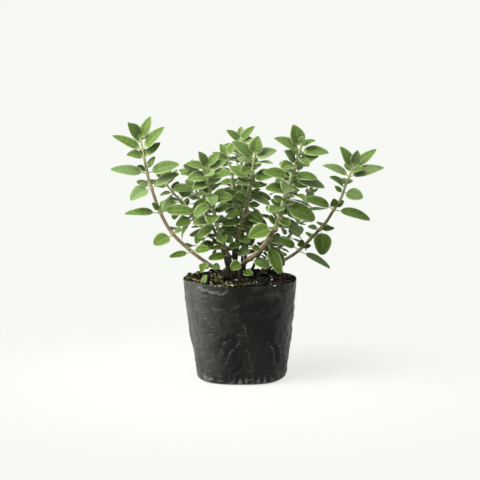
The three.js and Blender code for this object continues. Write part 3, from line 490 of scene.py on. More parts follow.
def grow_leaves(paths):
    room = Room()
    for stem, path in zip(STEMS, paths):
        steps = floor(path.total / SAMPLE_STEP)
        for k in range(steps + 1):
            place = path.at_share(k / steps)
            room.take([place['point']], stem['seed'], stem_radius(stem, place['share']))
    wishes = []
    for owner, (stem, path) in enumerate(zip(STEMS, paths)):
        spread = seeded_spread(stem['seed'])
        mine = placed_wishes(stem, path, spread)
        if 'pairs' in stem:
            mine += pair_wishes(stem, path, spread)
        if 'apex' in stem:
            mine += apex_wishes(stem, path, spread)
        wishes += [dict(wish, owner=owner) for wish in mine]
    leaves = [[] for _ in STEMS]
    for rank in (0, 1, 2):
        for wish in (wish for wish in wishes if wish['rank'] == rank):
            leaf = grow_leaf(room, wish, STEMS[wish['owner']])
            if leaf:
                leaves[wish['owner']].append(leaf)
    return leaves


# ---------------------------------------------------------------- meshes

HASH = dict(start=2166136261, prime=16777619, stir=2246822519)
FULL_TURN = 6.28                   # radians, near enough where a draw picks the turn
THIRDS = (0, 2.094, 4.189)


def vec(values):
    return np.array(values, dtype=float)


def hashed(*keys):
    """A steady number from 0 to 1 for whole-number keys."""
    word = DRAW['range'] - 1
    state = HASH['start']
    for key in keys:
        state = ((state ^ (int(key) & word)) * HASH['prime']) & word
        state ^= state >> 15
        state = (state * HASH['stir']) & word
    state ^= state >> 13
    return state / DRAW['range']


def drawn(span, *keys, power=1):
    """A steady number between the two ends of a span."""
    low, high = span
    return low + (high - low) * hashed(*keys) ** power


class Build:
    """Points in millimetres and faces of one mesh, with a place and a tone for each point."""

    def __init__(self):
        self.points, self.faces, self.slots = [], [], []
        self.places, self.tones = [], []
        self.count = 0

    def add(self, points, places, tone, faces, slots):
        """A face of three corners has -1 as its fourth."""
        points = np.asarray(points, dtype=float).reshape(-1, 3)
        faces = np.asarray(faces, dtype=np.int64)
        self.points.append(points)
        self.places.append(np.broadcast_to(np.asarray(places, dtype=float), (len(points), 3)))
        self.tones.append(np.broadcast_to(np.asarray(tone, dtype=float), (len(points), 3)))
        self.faces.append(np.where(faces < 0, -1, faces + self.count))
        self.slots.append(np.broadcast_to(np.asarray(slots, dtype=np.int32), (len(faces),)))
        self.count += len(points)

    def add_tube(self, rings, ends, places, tone, slot):
        """A closed skin over rings of points, with a fan round a middle point at each end."""
        count, sides = rings.shape[:2]
        i, j = np.meshgrid(np.arange(count - 1), np.arange(sides), indexing='ij')
        a, b = (i * sides + j).ravel(), (i * sides + (j + 1) % sides).ravel()
        faces = np.stack((a, b, b + sides, a + sides), axis=1).tolist()
        last, middle = (count - 1) * sides, count * sides
        for k in range(sides):
            following = (k + 1) % sides
            faces.append([following, k, middle, -1])
            faces.append([last + k, last + following, middle + 1, -1])
        self.add(np.concatenate((rings.reshape(-1, 3), ends)), places, tone, faces, slot)

    def mesh(self, name, materials):
        faces = [[corner for corner in face if corner >= 0]
                 for face in np.concatenate(self.faces).tolist()]
        mesh = bpy.data.meshes.new(name)
        mesh.from_pydata(np.concatenate(self.points) * MM, [], faces, shade_flat=False)
        mesh.polygons.foreach_set('material_index', np.concatenate(self.slots))
        for label, rows in (('place', self.places), ('tone', self.tones)):
            layer = mesh.attributes.new(label, 'FLOAT_VECTOR', 'POINT')
            layer.data.foreach_set('vector', np.concatenate(rows).astype(np.float32).ravel())
        mesh.validate()
        for material in materials:
            mesh.materials.append(material)
        piece = bpy.data.objects.new(name, mesh)
        bpy.context.scene.collection.objects.link(piece)
        return piece


# ---------------------------------------------------------------- leaves

TOP, UNDER, BARK, HAIR = range(4)  # material slots of a sprig

# rows and columns of points on a leaf longer than so many millimetres
BLADE_GRIDS = ((16, 22, 13), (10, 16, 9), (0, 11, 7))
STALK_ROWS = 3
ROW_SWEEP = 0.98         # rows crowd to both ends of the blade, to the tip a little less
OPENING_SHARE = 0.12     # share of a leaf over which the stalk opens into the blade
USUAL_LEAF = 24          # length at which veins and ribs have their full depth
VEINS = 4.5              # side veins on each half of a blade
LEAN = 0.42              # how far a side vein runs up the blade on its way to the edge
LEAN_SPREAD = 2.2        # the same for the blade's width against its length
KEEL = (0.02, 0.14)      # rounds the fold along the midrib
EDGE_ROLL = (0.05, 0.12)          # how far the edges roll back
RIPPLE = 0.045           # how far the edges rise and fall, against the half width
RIPPLE_PACE = (5, 8)
RIPPLE_SHIFT = 1.3       # between the two halves
QUILT = 0.16             # how far the tissue swells between sunken veins
TWIST = (-0.12, 0.12)
STALK_HALF = 0.42        # half thicknesses in millimetres: of the stalk,
ROOT_FLARE = (0.25, 0.06)         # of its foot beyond that, over this share of the leaf,
BLADE_HALF = 0.19        # and of the blade, which thins towards its tip
BLADE_THINNING = 0.35
FULL_EDGE = 1.6          # how far out the blade keeps its thickness
RIB = (0.34, 0.42, 0.75)          # midrib under the blade: depth, half width, loss at the tip
GROOVE = (0.16, 0.4, 0.6)         # the furrow over it


def along_midrib(form, u, out, size):
    depth, wide, loss = form
    return depth * size ** 0.5 * np.exp(-(out / wide) ** 2) * (1 - loss * u)


def fine_leaf(build, leaf, key, tone):
    """A leaf as one closed skin: a round stalk that opens into a thin veined blade."""
    rows, columns = next(grid[1:] for grid in BLADE_GRIDS if leaf['length'] > grid[0])
    petiole = petiole_share(leaf)
    sweep = 1 - np.cos(np.linspace(0, pi, rows) * ROW_SWEEP)
    upper = petiole + (1 - petiole) * sweep / sweep[-1]
    us = np.concatenate((np.linspace(0, petiole, STALK_ROWS + 1)[:-1], np.clip(upper, 0, 1)))
    u, v = np.meshgrid(us, np.sin(np.linspace(-pi / 2, pi / 2, columns)), indexing='ij')
    d, n, root = vec(leaf['d']), vec(leaf['n']), vec(leaf['root'])
    side = np.cross(d, n)
    angle = leaf['bend'] * u
    middle = (root + np.multiply.outer(leaf['length'] * np.sin(angle) / leaf['bend'], d)
              - np.multiply.outer(leaf['length'] * (1 - np.cos(angle)) / leaf['bend'], n))
    up = np.multiply.outer(np.sin(angle), d) + np.multiply.outer(np.cos(angle), n)
    half = vec([half_width(leaf, share) for share in us])[:, None]
    open_blade = np.clip((u - petiole) / OPENING_SHARE, 0, 1)
    size = leaf['length'] / USUAL_LEAF
    # the keel is rounded, the edges roll back a little and rise and fall
    away = np.abs(v)
    lift = leaf['fold'] * half * (np.sqrt(v * v + KEEL[0]) - KEEL[1])
    lift -= drawn(EDGE_ROLL, key, 2) * away ** 4 * half * open_blade
    ripples = np.sin(u * drawn(RIPPLE_PACE, key, 3) + FULL_TURN * hashed(key, 1)
                     + np.sign(v) * RIPPLE_SHIFT)
    lift += RIPPLE * half * away ** 2 * ripples * open_blade
    # blade tissue swells between the sunken veins
    vein = ((u - petiole) / (1 - petiole)
            - LEAN * away * half / leaf['length'] * LEAN_SPREAD) * VEINS
    swell = -0.5 * np.cos(2 * pi * vein) * np.sin(pi * away) ** 0.8
    lift += QUILT * size * swell * open_blade
    twist = (drawn(TWIST, key, 4) * u)[..., None]
    out = v * half
    middle = middle + out[..., None] * (np.cos(twist) * side + np.sin(twist) * up)
    middle = middle + lift[..., None] * up
    # half thickness: a round stalk, a thin blade, a rib under the middle
    round_off = np.sqrt(np.clip(1 - away ** 2, 0, 1))
    flare = ROOT_FLARE[0] * np.clip(1 - u / ROOT_FLARE[1], 0, 1)
    thick = (STALK_HALF * (1 - open_blade) + flare) * round_off
    thick += (BLADE_HALF * open_blade * (1 - BLADE_THINNING * u)
              * np.minimum(1, round_off * FULL_EDGE))
    groove = along_midrib(GROOVE, u, out, size) * open_blade
    rib = along_midrib(RIB, u, out, size) * open_blade
    top = middle + (thick - groove)[..., None] * up
    # the underside shares its edge columns with the top
    under = (middle - (thick + rib)[..., None] * up)[:, 1:-1]
    place = np.stack((u, v, vein), axis=-1)
    index_top = np.arange(u.size).reshape(u.shape)
    index_under = np.array(index_top)
    index_under[:, 1:-1] = u.size + np.arange(under[..., 0].size).reshape(under.shape[:2])
    faces, slots = blade_faces(index_top, index_under)
    build.add(np.concatenate((top.reshape(-1, 3), under.reshape(-1, 3))),
              np.concatenate((place.reshape(-1, 3), place[:, 1:-1].reshape(-1, 3))),
              tone, faces, slots)
    return middle[:, 0], middle[:, -1], up[:, 0], side


def blade_faces(top, under):
    """Quads over both sides, and the caps at the root and the tip."""
    faces, slots = [], []
    # the side axis is d x n, so columns run to the left of the way the leaf grows
    for index, order, slot in ((top, (0, 1, 2, 3), TOP), (under, (0, 3, 2, 1), UNDER)):
        corners = index[:-1, :-1], index[:-1, 1:], index[1:, 1:], index[1:, :-1]
        faces.append(np.stack([corners[k].ravel() for k in order], axis=1))
        slots += [slot] * len(faces[-1])
    for row, order in ((0, (0, 1, 2, 3)), (-1, (0, 3, 2, 1))):
        corners = top[row, :-1], top[row, 1:], under[row, 1:], under[row, :-1]
        for quad in np.stack([corners[k] for k in order], axis=1).tolist():
            kept = list(dict.fromkeys(quad))
            if len(kept) > 2:
                faces.append([kept + [-1] * (4 - len(kept))])
                slots.append(TOP)
    return np.concatenate(faces), slots


def spike(build, root, reach, thickness, tone):
    """A hair: a slender closed three-sided point."""
    helper = (1, 0, 0) if abs(reach[0]) < 0.8 * np.linalg.norm(reach) else (0, 1, 0)
    first = np.cross(reach, vec(helper))
    first /= np.linalg.norm(first)
    second = np.cross(reach, first)
    second /= np.linalg.norm(second)
    ring = [root + thickness * (cos(t) * first + sin(t) * second) for t in THIRDS]
    build.add(ring + [root + reach], (0, 0, 0), tone,
              [[0, 2, 1, -1], [0, 1, 3, -1], [1, 2, 3, -1], [2, 0, 3, -1]], HAIR)


# hairs for each millimetre, the share of the edge where they start and that they take, how far
# they lean to the leaf's tip and rise, and their size
EDGE_HAIR = dict(count=1.1, start=0.22, span=0.74, lean=(0.3, 1), rise=(-0.72, 0.88),
                 length=(0.35, 0.8), thickness=0.045)
FEWEST_HAIRS = 6


def edge_hairs(build, leaf, key, edges, tone):
    left, right, up, side = edges
    steps = max(FEWEST_HAIRS, int(leaf['length'] * EDGE_HAIR['count']))
    for number, (edge, way) in enumerate(((left, -1), (right, 1))):
        for k in range(steps):
            share = (k + 0.8 * hashed(key, 11 + number, k)) / steps
            at = (EDGE_HAIR['start'] + EDGE_HAIR['span'] * share) * (len(edge) - 1)
            i = min(int(at), len(edge) - 2)
            root = edge[i] + (edge[i + 1] - edge[i]) * (at - i)
            lean = vec(leaf['d']) * drawn(EDGE_HAIR['lean'], key, 21 + number, k)
            out = side * way + lean + up[i] * drawn(EDGE_HAIR['rise'], key, 31 + number, k)
            length = drawn(EDGE_HAIR['length'], key, 41 + number, k)
            spike(build, root, out / np.linalg.norm(out) * length, EDGE_HAIR['thickness'], tone)


# ---------------------------------------------------------------- stems

STEM_SIDES = 12
STEM_RING = 1.3          # distance between two rings
SQUARENESS = 0.07
KNOT = (0.2, 1.5)        # how much a stem swells where leaves set out, and over what length
KNOT_TINT = 1.2          # length over which its bark is paler there
UNEVEN = (0.04, 0.9)     # how much its girth rises and falls, and how often
BUD = ((0.5, 0.8), (0.9, 0.45))    # rings beyond the tip: distance, and share of its radius
BUD_TIP = 1.1
# hairs for each millimetre above the length that stands in the soil, how deep they root in the
# stem's radius, how far they lean up it, and their size
STEM_HAIR = dict(count=2.6, bare=20, root=0.97, lean=(-0.56, 0.24), length=(0.35, 0.85),
                 thickness=0.05)
# share of each stem's length up to which its bark is brown
BROWN_TO = {'stem_left_outer': 0.78, 'stem_right_outer': 0.74, 'stem_left_front': 0.42,
            'stem_right_front': 0.52, 'stem_middle': 0.68, 'stem_left_back': 0.8, 'others': 0.6}
# how reddish that bark is
RUSSET = {'stem_right_front': 1, 'stem_middle': 0.8, 'stem_left_outer': 0.35, 'others': 0.1}


def stem_axes(place):
    """Two directions across a stem."""
    first = vec(across((1, 0, 0), place['along']))
    return first, vec(cross(place['along'], tuple(first)))


def fine_stem(build, stem, path, nodes, key):
    """A square stem with rounded edges, swollen where leaves set out, and a bud at its tip."""
    turns = 2 * pi * np.arange(STEM_SIDES) / STEM_SIDES
    rings, places = [], []

    def ring(place, radii, beyond, near_node):
        first, second = stem_axes(place)
        out = np.multiply.outer(np.cos(turns), first) + np.multiply.outer(np.sin(turns), second)
        middle = vec(place['point']) + vec(place['along']) * beyond
        rings.append(middle + np.reshape(radii, (-1, 1)) * out)
        places.extend((place['share'], k / STEM_SIDES, near_node) for k in range(STEM_SIDES))

    count = int(path.total / STEM_RING)
    for share in (k / count for k in range(count + 1)):
        gap = min(abs(share - node) * path.total for node in nodes)
        radius = stem_radius(stem, share)
        radius *= 1 + KNOT[0] * exp(-(gap / KNOT[1]) ** 2)
        radius *= 1 + UNEVEN[0] * sin(share * path.total * UNEVEN[1] + key)
        ring(path.at_share(share), radius * (1 + SQUARENESS * np.cos(4 * turns + pi)), 0,
             exp(-(gap / KNOT_TINT) ** 2))
    end = path.at_share(1)
    for beyond, share in BUD:
        ring(end, stem_radius(stem, 1) * share, beyond, 0)
    ends = [path.at_share(0)['point'], plus(end['point'], times(end['along'], BUD_TIP))]
    brown_to, russet = (table.get(stem['name'], table['others']) for table in (BROWN_TO, RUSSET))
    build.add_tube(np.array(rings), ends, places + [(0, 0, 0), (1, 0, 0)],
                   (brown_to, russet, 0), BARK)


def stem_hairs(build, stem, path, key):
    start = STEM_HAIR['bare'] / path.total
    count = int((path.total - STEM_HAIR['bare']) * STEM_HAIR['count'])
    for k in range(count):
        share = start + (1 - start) * (k + hashed(key, 51, k)) / count
        place = path.at_share(share)
        first, second = stem_axes(place)
        turn = FULL_TURN * hashed(key, 52, k)
        out = cos(turn) * first + sin(turn) * second
        root = vec(place['point']) + out * stem_radius(stem, share) * STEM_HAIR['root']
        reach = out + vec(place['along']) * drawn(STEM_HAIR['lean'], key, 53, k)
        reach *= drawn(STEM_HAIR['length'], key, 54, k)
        spike(build, root, reach, STEM_HAIR['thickness'], (hashed(key, 55, k), 0, 0))


# ---------------------------------------------------------------- bag and soil, in millimetres

BAG_HEIGHT = 100
FILM = 1.1
SEAT_GAP = 0.3
# radius and height of the plain bag, and of the inside of its foot
BAG_PROFILE = [(42.5, 0), (46, 2.2), (47.6, 7), (48.8, 20), (50.8, 41), (53.4, 64), (55.6, 86),
               (56.6, 96), (57, BAG_HEIGHT)]
INNER_FOOT = [(43, 1.4), (45.9, 5)]
# waves round the film: how many, depth, where they start, and height over which they turn
FOLDS = [(3, 0.55, 0.9, 46), (5, 0.4, 2.1, -31), (8, 0.3, 4, 17)]
RIM_WAVES = [(2, 0.6, 0.5, 1), (5, 0.4, 1.2, 1)]
FOLD_FREE_HEIGHT = 14
FOOT_WAVES = [(1, 0.8, pi / 2, 1), (4, 1.6, -pi / 2, 1)]
FOOT_WAVE_HEIGHT = 38


def bag_radius(height):
    radii, heights = zip(*BAG_PROFILE)
    return np.interp(height, heights, radii)


def waves(rows, angle, height):
    return sum(depth * np.sin(count * angle + phase + height / rise)
               for count, depth, phase, rise in rows)


def fold_out(angle, height):
    foot = np.sqrt(np.maximum(0, 1 - height / FOOT_WAVE_HEIGHT))
    plain = np.minimum(1, height / FOLD_FREE_HEIGHT) * waves(FOLDS, angle, height)
    return plain + foot * waves(FOOT_WAVES, angle, 0)


def round_axis(radius, angle, height):
    return np.stack((radius * np.cos(angle), radius * np.sin(angle), height + 0 * angle), axis=-1)


def field(kind, x, y, z, octaves=3):
    """Blender's own noise over arrays of points."""
    flat = np.stack([np.ravel(x), np.ravel(y), np.ravel(z)], axis=1)
    if kind == 'ridge':
        made = [noise.ridged_multi_fractal(Vector(p), 0.9, 2.1, octaves, 1.0, 2.0) for p in flat]
    else:
        made = [noise.fractal(Vector(p), 0.8, 2.1, octaves) for p in flat]
    return np.array(made).reshape(np.shape(x))


# creases of the film: their route over the front as x and height, how far the film stands out,
# half width, how white it is worn, partly a painted highlight, and the painted shade of a dent
CREASES = [
    ([(-2, 43), (-4, 38), (-9, 35), (-12, 29), (-14, 22), (-18, 14), (-20, 9)], 0.22, 0.6, 0.5, 0),
    ([(6, 37), (10, 33), (9, 27), (11, 18), (12, 12), (11, 6)], 0.22, 0.6, 0.5, 0),
    ([(28, 43), (32, 37), (34, 28)], 0.22, 0.6, 0.3, 0),
    ([(-27, 77), (-21, 76), (-16, 77)], 0.25, 0.6, 0.35, 0),
    ([(-10, 77), (-6, 78), (-1, 82)], 0.25, 0.6, 0.45, 0),
    ([(-2, 66), (3, 62), (6, 57), (5, 53), (7, 50)], 0.22, 0.6, 0.5, 0),
    ([(-3, 52), (5, 50.5)], 0.2, 0.6, 0.3, 0),
    ([(-40, 96), (-34, 94), (-26, 93), (-18, 92.5), (-13, 94), (-11, 98)], 0.55, 1.5, 0.6, 0),
    ([(-36, 8), (-30, 5), (-24, 3.5), (-15, 4.5)], 0.5, 0.8, 0.8, 0),
    ([(7, 6), (15, 4), (24, 3)], 0.5, 0.8, 0.8, 0),
    ([(28, 3), (33, 6), (39, 10)], 0.5, 0.8, 0.6, 0),
    ([(7, 76), (15, 79), (33, 81)], -0.9, 3.2, 0, 0.7),
    ([(-17, 45), (-9, 48), (-3, 45)], -0.9, 2.4, 0, 0.6),
    ([(25, 47), (29, 44), (35, 34), (36, 22)], -0.9, 2.2, 0, 0.7),
    ([(7, 95), (17, 92), (27, 95)], -0.6, 2.6, 0, 0.6),
    ([(-6, 13), (2, 20), (4, 30)], -0.6, 2.0, 0, 0.5),
    ([(16, 12), (24, 17), (30, 15)], -0.6, 2.0, 0, 0.5),
    ([(9, 70), (20, 78), (34, 84)], -0.7, 2.6, 0, 0.6),
    ([(14, 60), (24, 66), (36, 68)], -0.6, 3.0, 0, 0.4),
    ([(-18, 40), (-12, 33), (-14, 25)], -0.7, 2.6, 0, 0.5),
]
FREE_CREASES = 90                  # more of them, by chance, all round
FREE = dict(height=(4, 96), step=(1.6, 4.2), points=(2, 5), bend=(-0.75, 0.75),
            depth=(0.12, 0.34), half=(0.6, 2))
RAISED = 0.4                       # share of them that stand out; the others are dents
# painted shade: how dark the dents among them are painted
FREE_DENT_SHADE = 0.45                   # how dark those are
UNWORN, WHITEST = 0.6, 0.7         # share of the raised ones that stay black; slope of the rest
ROLLED = 52                        # radius at which angles become lengths
FOOT_MARGIN = 0.4                  # depth of the hollows beside a crease, against its height
WORN_WIDTH = 0.6                   # of a crease, against its whole width
# no crease runs straight or is worn white all along
WANDER = dict(by=0.9, size=3.2)
RUBBED = dict(middle=0.45, spread=1.2, size=2.6)


def all_creases():
    """Routes rolled out flat: length round the bag from the middle of the front, and height."""
    made = []
    for route, *rest in CREASES:
        flat = [(ROLLED * float(np.arcsin(x / bag_radius(z))), z) for x, z in route]
        made.append((flat, *rest))
    for k in range(FREE_CREASES):
        x = drawn((-pi * ROLLED, pi * ROLLED), k, 61)
        z = drawn(FREE['height'], k, 62)
        heading = drawn((0, pi), k, 63)
        step = drawn(FREE['step'], k, 64)
        route = [(x, z)]
        for turn in range(int(drawn(FREE['points'], k, 65))):
            heading += drawn(FREE['bend'], k, 66 + turn)
            x, z = x + step * cos(heading), z + step * sin(heading)
            route.append((x, z))
        depth, half = drawn(FREE['depth'], k, 71), drawn(FREE['half'], k, 74, power=2)
        if hashed(k, 72) < RAISED:
            made.append((route, depth, half, WHITEST * max(0, hashed(k, 73) - UNWORN), 0))
        else:
            made.append((route, -depth, half, 0, FREE_DENT_SHADE))
    return made


def distance_to(route, x, z):
    nearest = np.full(x.shape, np.inf)
    for (x0, z0), (x1, z1) in zip(route, route[1:]):
        dx, dz = x1 - x0, z1 - z0
        t = np.clip(((x - x0) * dx + (z - z0) * dz) / (dx * dx + dz * dz), 0, 1)
        nearest = np.minimum(nearest, np.hypot(x - x0 - t * dx, z - z0 - t * dz))
    return nearest


def creased(angle, height):
    """How far creases stand out, their white wear with painted highlight, and the dents' painted
    shade.
    """
    rolled = ((angle + pi / 2 + pi) % (2 * pi) - pi) * ROLLED
    x, y = np.cos(angle) * ROLLED, np.sin(angle) * ROLLED
    place = x / WANDER['size'], y / WANDER['size'], height / WANDER['size']
    rolled = rolled + WANDER['by'] * field('plain', *place)
    height = height + WANDER['by'] * field('plain', place[0] + 9, *place[1:])
    size = RUBBED['size']
    rubbed = RUBBED['spread'] * field('plain', x / size, y / size + 4, height / size)
    rubbed = np.clip(RUBBED['middle'] + rubbed, 0, 1)
    out, wear_and_highlight, painted_shade = np.zeros_like(angle), np.zeros_like(angle), np.zeros_like(angle)
    for route, depth, half, white, shade in all_creases():
        xs, zs = zip(*route)
        edge = 4 * half + 1
        near_route = ((rolled > min(xs) - edge) & (rolled < max(xs) + edge)
                      & (height > min(zs) - edge) & (height < max(zs) + edge))
        nearest = distance_to(route, rolled[near_route], height[near_route])
        ridge = np.exp(-(nearest / half) ** 2)
        foot = np.exp(-((nearest - 2 * half) / half) ** 2)
        out[near_route] += depth * (ridge - FOOT_MARGIN * foot)
        rub = white * np.exp(-(nearest / (WORN_WIDTH * half)) ** 2)
        wear_and_highlight[near_route] = np.maximum(wear_and_highlight[near_route], rub)
        # painted shade along the dents
        painted_shade[near_route] = np.maximum(painted_shade[near_route], shade * ridge)
    return out, wear_and_highlight * rubbed, painted_shade


# unevenness of the film: depth, size round the bag and up it, and where its noise is read
CRINKLES = ((0.7, 17, 15, 0), (0.16, 6.5, 5, 5), (0.03, 2.4, 1.9, 5))
RIDGES = dict(depth=0.3, wide=14, tall=13, start=7)
FOOT_DENT = dict(depth=0.9, wide=0.55, top=32, edge=1.6)
GATHER = dict(height=3.5, pleats=37, sway=5, depth=0.45, uneven=0.6, wear_and_highlight=1.6, most_worn=0.8)
MOST_OUT, MOST_IN = 1.7, -2.6


def crinkle(angle, height):
    """How far the fine folds of the film stand out from its plain form."""
    out, wear_and_highlight, painted_shade = creased(angle, height)
    x, y = np.cos(angle) * ROLLED, np.sin(angle) * ROLLED
    for depth, wide, tall, start in CRINKLES:
        out += depth * field('plain', x / wide, y / wide + start, height / tall)
    ridges = field('ridge', x / RIDGES['wide'] + RIDGES['start'], y / RIDGES['wide'],
                   height / RIDGES['tall'])
    out -= RIDGES['depth'] * (ridges - 1)
    # a dent low on the left, where the film steps in over the folded base
    dent = FOOT_DENT['depth'] * np.exp(-(((angle - pi) / FOOT_DENT['wide']) ** 2))
    out -= dent / (1 + np.exp((height - FOOT_DENT['top']) / FOOT_DENT['edge']))
    # the base is gathered into small pleats where it turns under
    gather = np.exp(-((height - GATHER['height']) / GATHER['height']) ** 2)
    pleats = np.sin(GATHER['pleats'] * angle + 3 * np.sin(GATHER['sway'] * angle))
    pleats = GATHER['depth'] * pleats * np.sin(2 * angle + 1) ** 2
    pleats += GATHER['uneven'] * field('plain', x / 4, y / 4, height / 6 + 3)
    # the pleats' folds are worn white, partly a painted highlight along them
    folded = np.clip(pleats * GATHER['wear_and_highlight'], 0, GATHER['most_worn'])
    wear_and_highlight = np.maximum(wear_and_highlight, gather * folded)
    return np.clip(out + gather * pleats, MOST_IN, MOST_OUT), wear_and_highlight, painted_shade


BAG_COLUMNS = 440
EDGE_ROWS = 16                     # rows stand closer at the foot and at the rim,
EVEN_ROWS = 140                    # and evenly between these two heights
EVEN_FROM, EVEN_TO = 8, 92
ROUNDED_FROM, ROUNDED_TO = 3, 97   # where the bends of the profile are rounded
ROUNDING = 1.5                     # height over which a bend is rounded, up and down
BASE_RELIEF = (2.5, 0.25)          # relief grows to this height from this share of it
RIM_RELIEF = (90, 0.45)            # and loses this share from here up
LOOSE_RIM = 88                     # above this the rim's own waves set in
JAG = dict(depth=0.35, pace=9, start=2)
INNER_RIM = 94                     # above this the inside follows the outside
INNER_ROWS = ((BAG_HEIGHT, 90, 12), (86, 12, 14))      # from, to, how many
RIM_THINNING = 0.45
LIP = 0.16


def above(start, height):
    """From 0 at a height to 1 at the rim."""
    return np.clip((height - start) / (BAG_HEIGHT - start), 0, 1)


def make_bag(materials):
    build = Build()
    radii, heights = zip(*BAG_PROFILE)
    turn = 2 * pi * np.arange(BAG_COLUMNS) / BAG_COLUMNS
    z = np.concatenate((np.linspace(0, EVEN_FROM, EDGE_ROWS)[:-1],
                        np.linspace(EVEN_FROM, EVEN_TO, EVEN_ROWS)[:-1],
                        np.linspace(EVEN_TO, BAG_HEIGHT, EDGE_ROWS)))
    angle, height = np.meshgrid(turn, z)
    rounded = (bag_radius(height + ROUNDING) + bag_radius(height - ROUNDING)) / 2
    plain = np.where((height > ROUNDED_FROM) & (height < ROUNDED_TO), rounded, bag_radius(height))
    fine, wear_and_highlight, painted_shade = crinkle(angle, height)
    fine *= np.clip(height / BASE_RELIEF[0], BASE_RELIEF[1], 1)
    fine *= 1 - RIM_RELIEF[1] * above(RIM_RELIEF[0], height)
    jag = field('plain', np.cos(turn) * JAG['pace'], np.sin(turn) * JAG['pace'],
                turn * 0 + JAG['start'])
    rim_lift = waves(RIM_WAVES, turn, 0) + JAG['depth'] * jag

    def lifted(level):
        return level + rim_lift * above(LOOSE_RIM, level) ** 2

    outside = round_axis(plain + fold_out(angle, height) + fine, angle, lifted(height))
    # the inside follows the outside at the rim, and lies smooth against the soil below
    (foot, foot_z), (low, low_z) = INNER_FOOT
    inner_z = np.concatenate((*[np.linspace(*row) for row in INNER_ROWS], [low_z, foot_z]))
    angle_in, height_in = np.meshgrid(turn, inner_z)
    wall = np.interp(height_in, [foot_z, low_z, *heights[3:]],
                     [foot, low, *[radius - FILM for radius in radii[3:]]])
    near_rim = above(INNER_RIM, height_in)
    inner = wall + fold_out(angle_in, height_in) + (RIM_THINNING + fine[-1]) * near_rim
    inside = round_axis(inner, angle_in, lifted(height_in))
    lip = (outside[-1] + inside[0]) / 2
    lip[:, 2] += LIP
    rings = np.concatenate((outside, lip[None], inside))
    place = np.zeros((rings.size // 3 + 2, 3))
    # the place holds the white wear, partly a painted highlight, then the painted shade of the dents
    place[:wear_and_highlight.size, 0], place[:painted_shade.size, 1] = wear_and_highlight.ravel(), painted_shade.ravel()
    build.add_tube(rings, [(0, 0, 0), (0, 0, foot_z)], place, (0, 0, 0), 0)
    return build.mesh('film_bag', materials)


SOIL_TOP = 98.2
SOIL_EDGE = 97                     # height at which the soil meets the film
CROWN_MOUND, CROWN_SPREAD = 3.6, 28
# lumps of the soil: height, the distances in x and y over which they come and go, where they start
LUMPS = dict(depth=0.9, x=4.3, y=5.1, start_x=1.3, start_y=0.4)
SWELLS = dict(depth=0.5, x=9.1, y=7.7, start=2)
SOIL_COLUMNS, SOIL_ROWS = 260, 64
SOIL_FOOT = ((42.8, 1.75), (45.55, 5.15))
SOIL_WALL = (20, 41, 64, 86, 93)   # heights of the rings above it
# depth, size, where the noise is read, octaves
GRAINS = ((2.3, 4.2, 0, 4), (0.7, 1.3, 4, 2))
SOIL_MIDDLE = 0.015                # share of the radius that is closed by the last fan
SOIL_MARGIN = 0.05                 # share of it over which the surface sinks to the film,
SOIL_SINK = 1.2                    # this far, and loses its grain but for this share
SOIL_GRAIN_LEFT = 0.35


def soil_height(x, y):
    mound = CROWN_MOUND * np.exp(-(x * x + y * y) / CROWN_SPREAD ** 2)
    lumps = LUMPS['depth'] * np.sin(x / LUMPS['x'] + LUMPS['start_x'])
    lumps = lumps * np.sin(y / LUMPS['y'] + LUMPS['start_y'])
    swells = SWELLS['depth'] * np.sin(x / SWELLS['x'] - y / SWELLS['y'] + SWELLS['start'])
    return SOIL_TOP + mound + lumps + swells


def soil_radius(angle, height):
    return bag_radius(height) - FILM - SEAT_GAP + fold_out(angle, height + 0 * angle)


def make_soil(materials):
    build = Build()
    turn = 2 * pi * np.arange(SOIL_COLUMNS) / SOIL_COLUMNS
    angle, share = np.meshgrid(turn, np.linspace(1, SOIL_MIDDLE, SOIL_ROWS))
    top = round_axis(soil_radius(angle, SOIL_EDGE) * share, angle, 0)
    x, y = top[..., 0], top[..., 1]
    grain = sum(depth * field('plain', x / wide, y / wide, x * 0 + start, octaves)
                for depth, wide, start, octaves in GRAINS)
    inward = np.clip((1 - share) / SOIL_MARGIN, 0, 1)
    grain *= SOIL_GRAIN_LEFT + (1 - SOIL_GRAIN_LEFT) * inward
    top[..., 2] = soil_height(x, y) + grain - SOIL_SINK * (1 - inward)
    wall = [round_axis(radius + fold_out(turn, height + 0 * turn), turn, height)
            for radius, height in SOIL_FOOT]
    wall += [round_axis(soil_radius(turn, height), turn, height) for height in SOIL_WALL]
    ends = [(0, 0, SOIL_FOOT[0][1]), (0, 0, soil_height(0, 0))]
    build.add_tube(np.concatenate((wall, top)), ends, (0, 0, 0), (0.3, 0, 0), 0)
    return build.mesh('soil_bed', materials)


def lump_form():
    """A ball of 42 points and 80 faces."""
    bm = bmesh.new()
    bmesh.ops.create_icosphere(bm, subdivisions=2, radius=1)
    points = np.array([v.co[:] for v in bm.verts])
    faces = [[v.index for v in f.verts] + [-1] for f in bm.faces]
    bm.free()
    return points, faces


CRUMBS = 1500
OUTMOST_CRUMB = 0.985              # share of the way from the middle to the film
RIM_CRUMBS = (0.8, OUTMOST_CRUMB)  # the shares that every third crumb is kept to
STEM_ROOM = 2.6                    # no crumb lies this near a stem
# which draws are chips of bark and pale grains, and the sizes of all three
BARK_FROM, PERLITE_TO = 0.84, 0.05
CRUMB = dict(size=(0.65, 2.55), wide=(0.75, 1.05), tall=(0.6, 0.9), rise=(0.3, 1.4))
CHIP_SIZE, CHIP_SHAPE = (1, 2.3), (1.7, 0.75, 0.45)
PERLITE_SIZE = (0.5, 1.3)
CRUMB_TILTS = ((-0.6, 0.6), (-0.7, 0.7), (0, FULL_TURN))


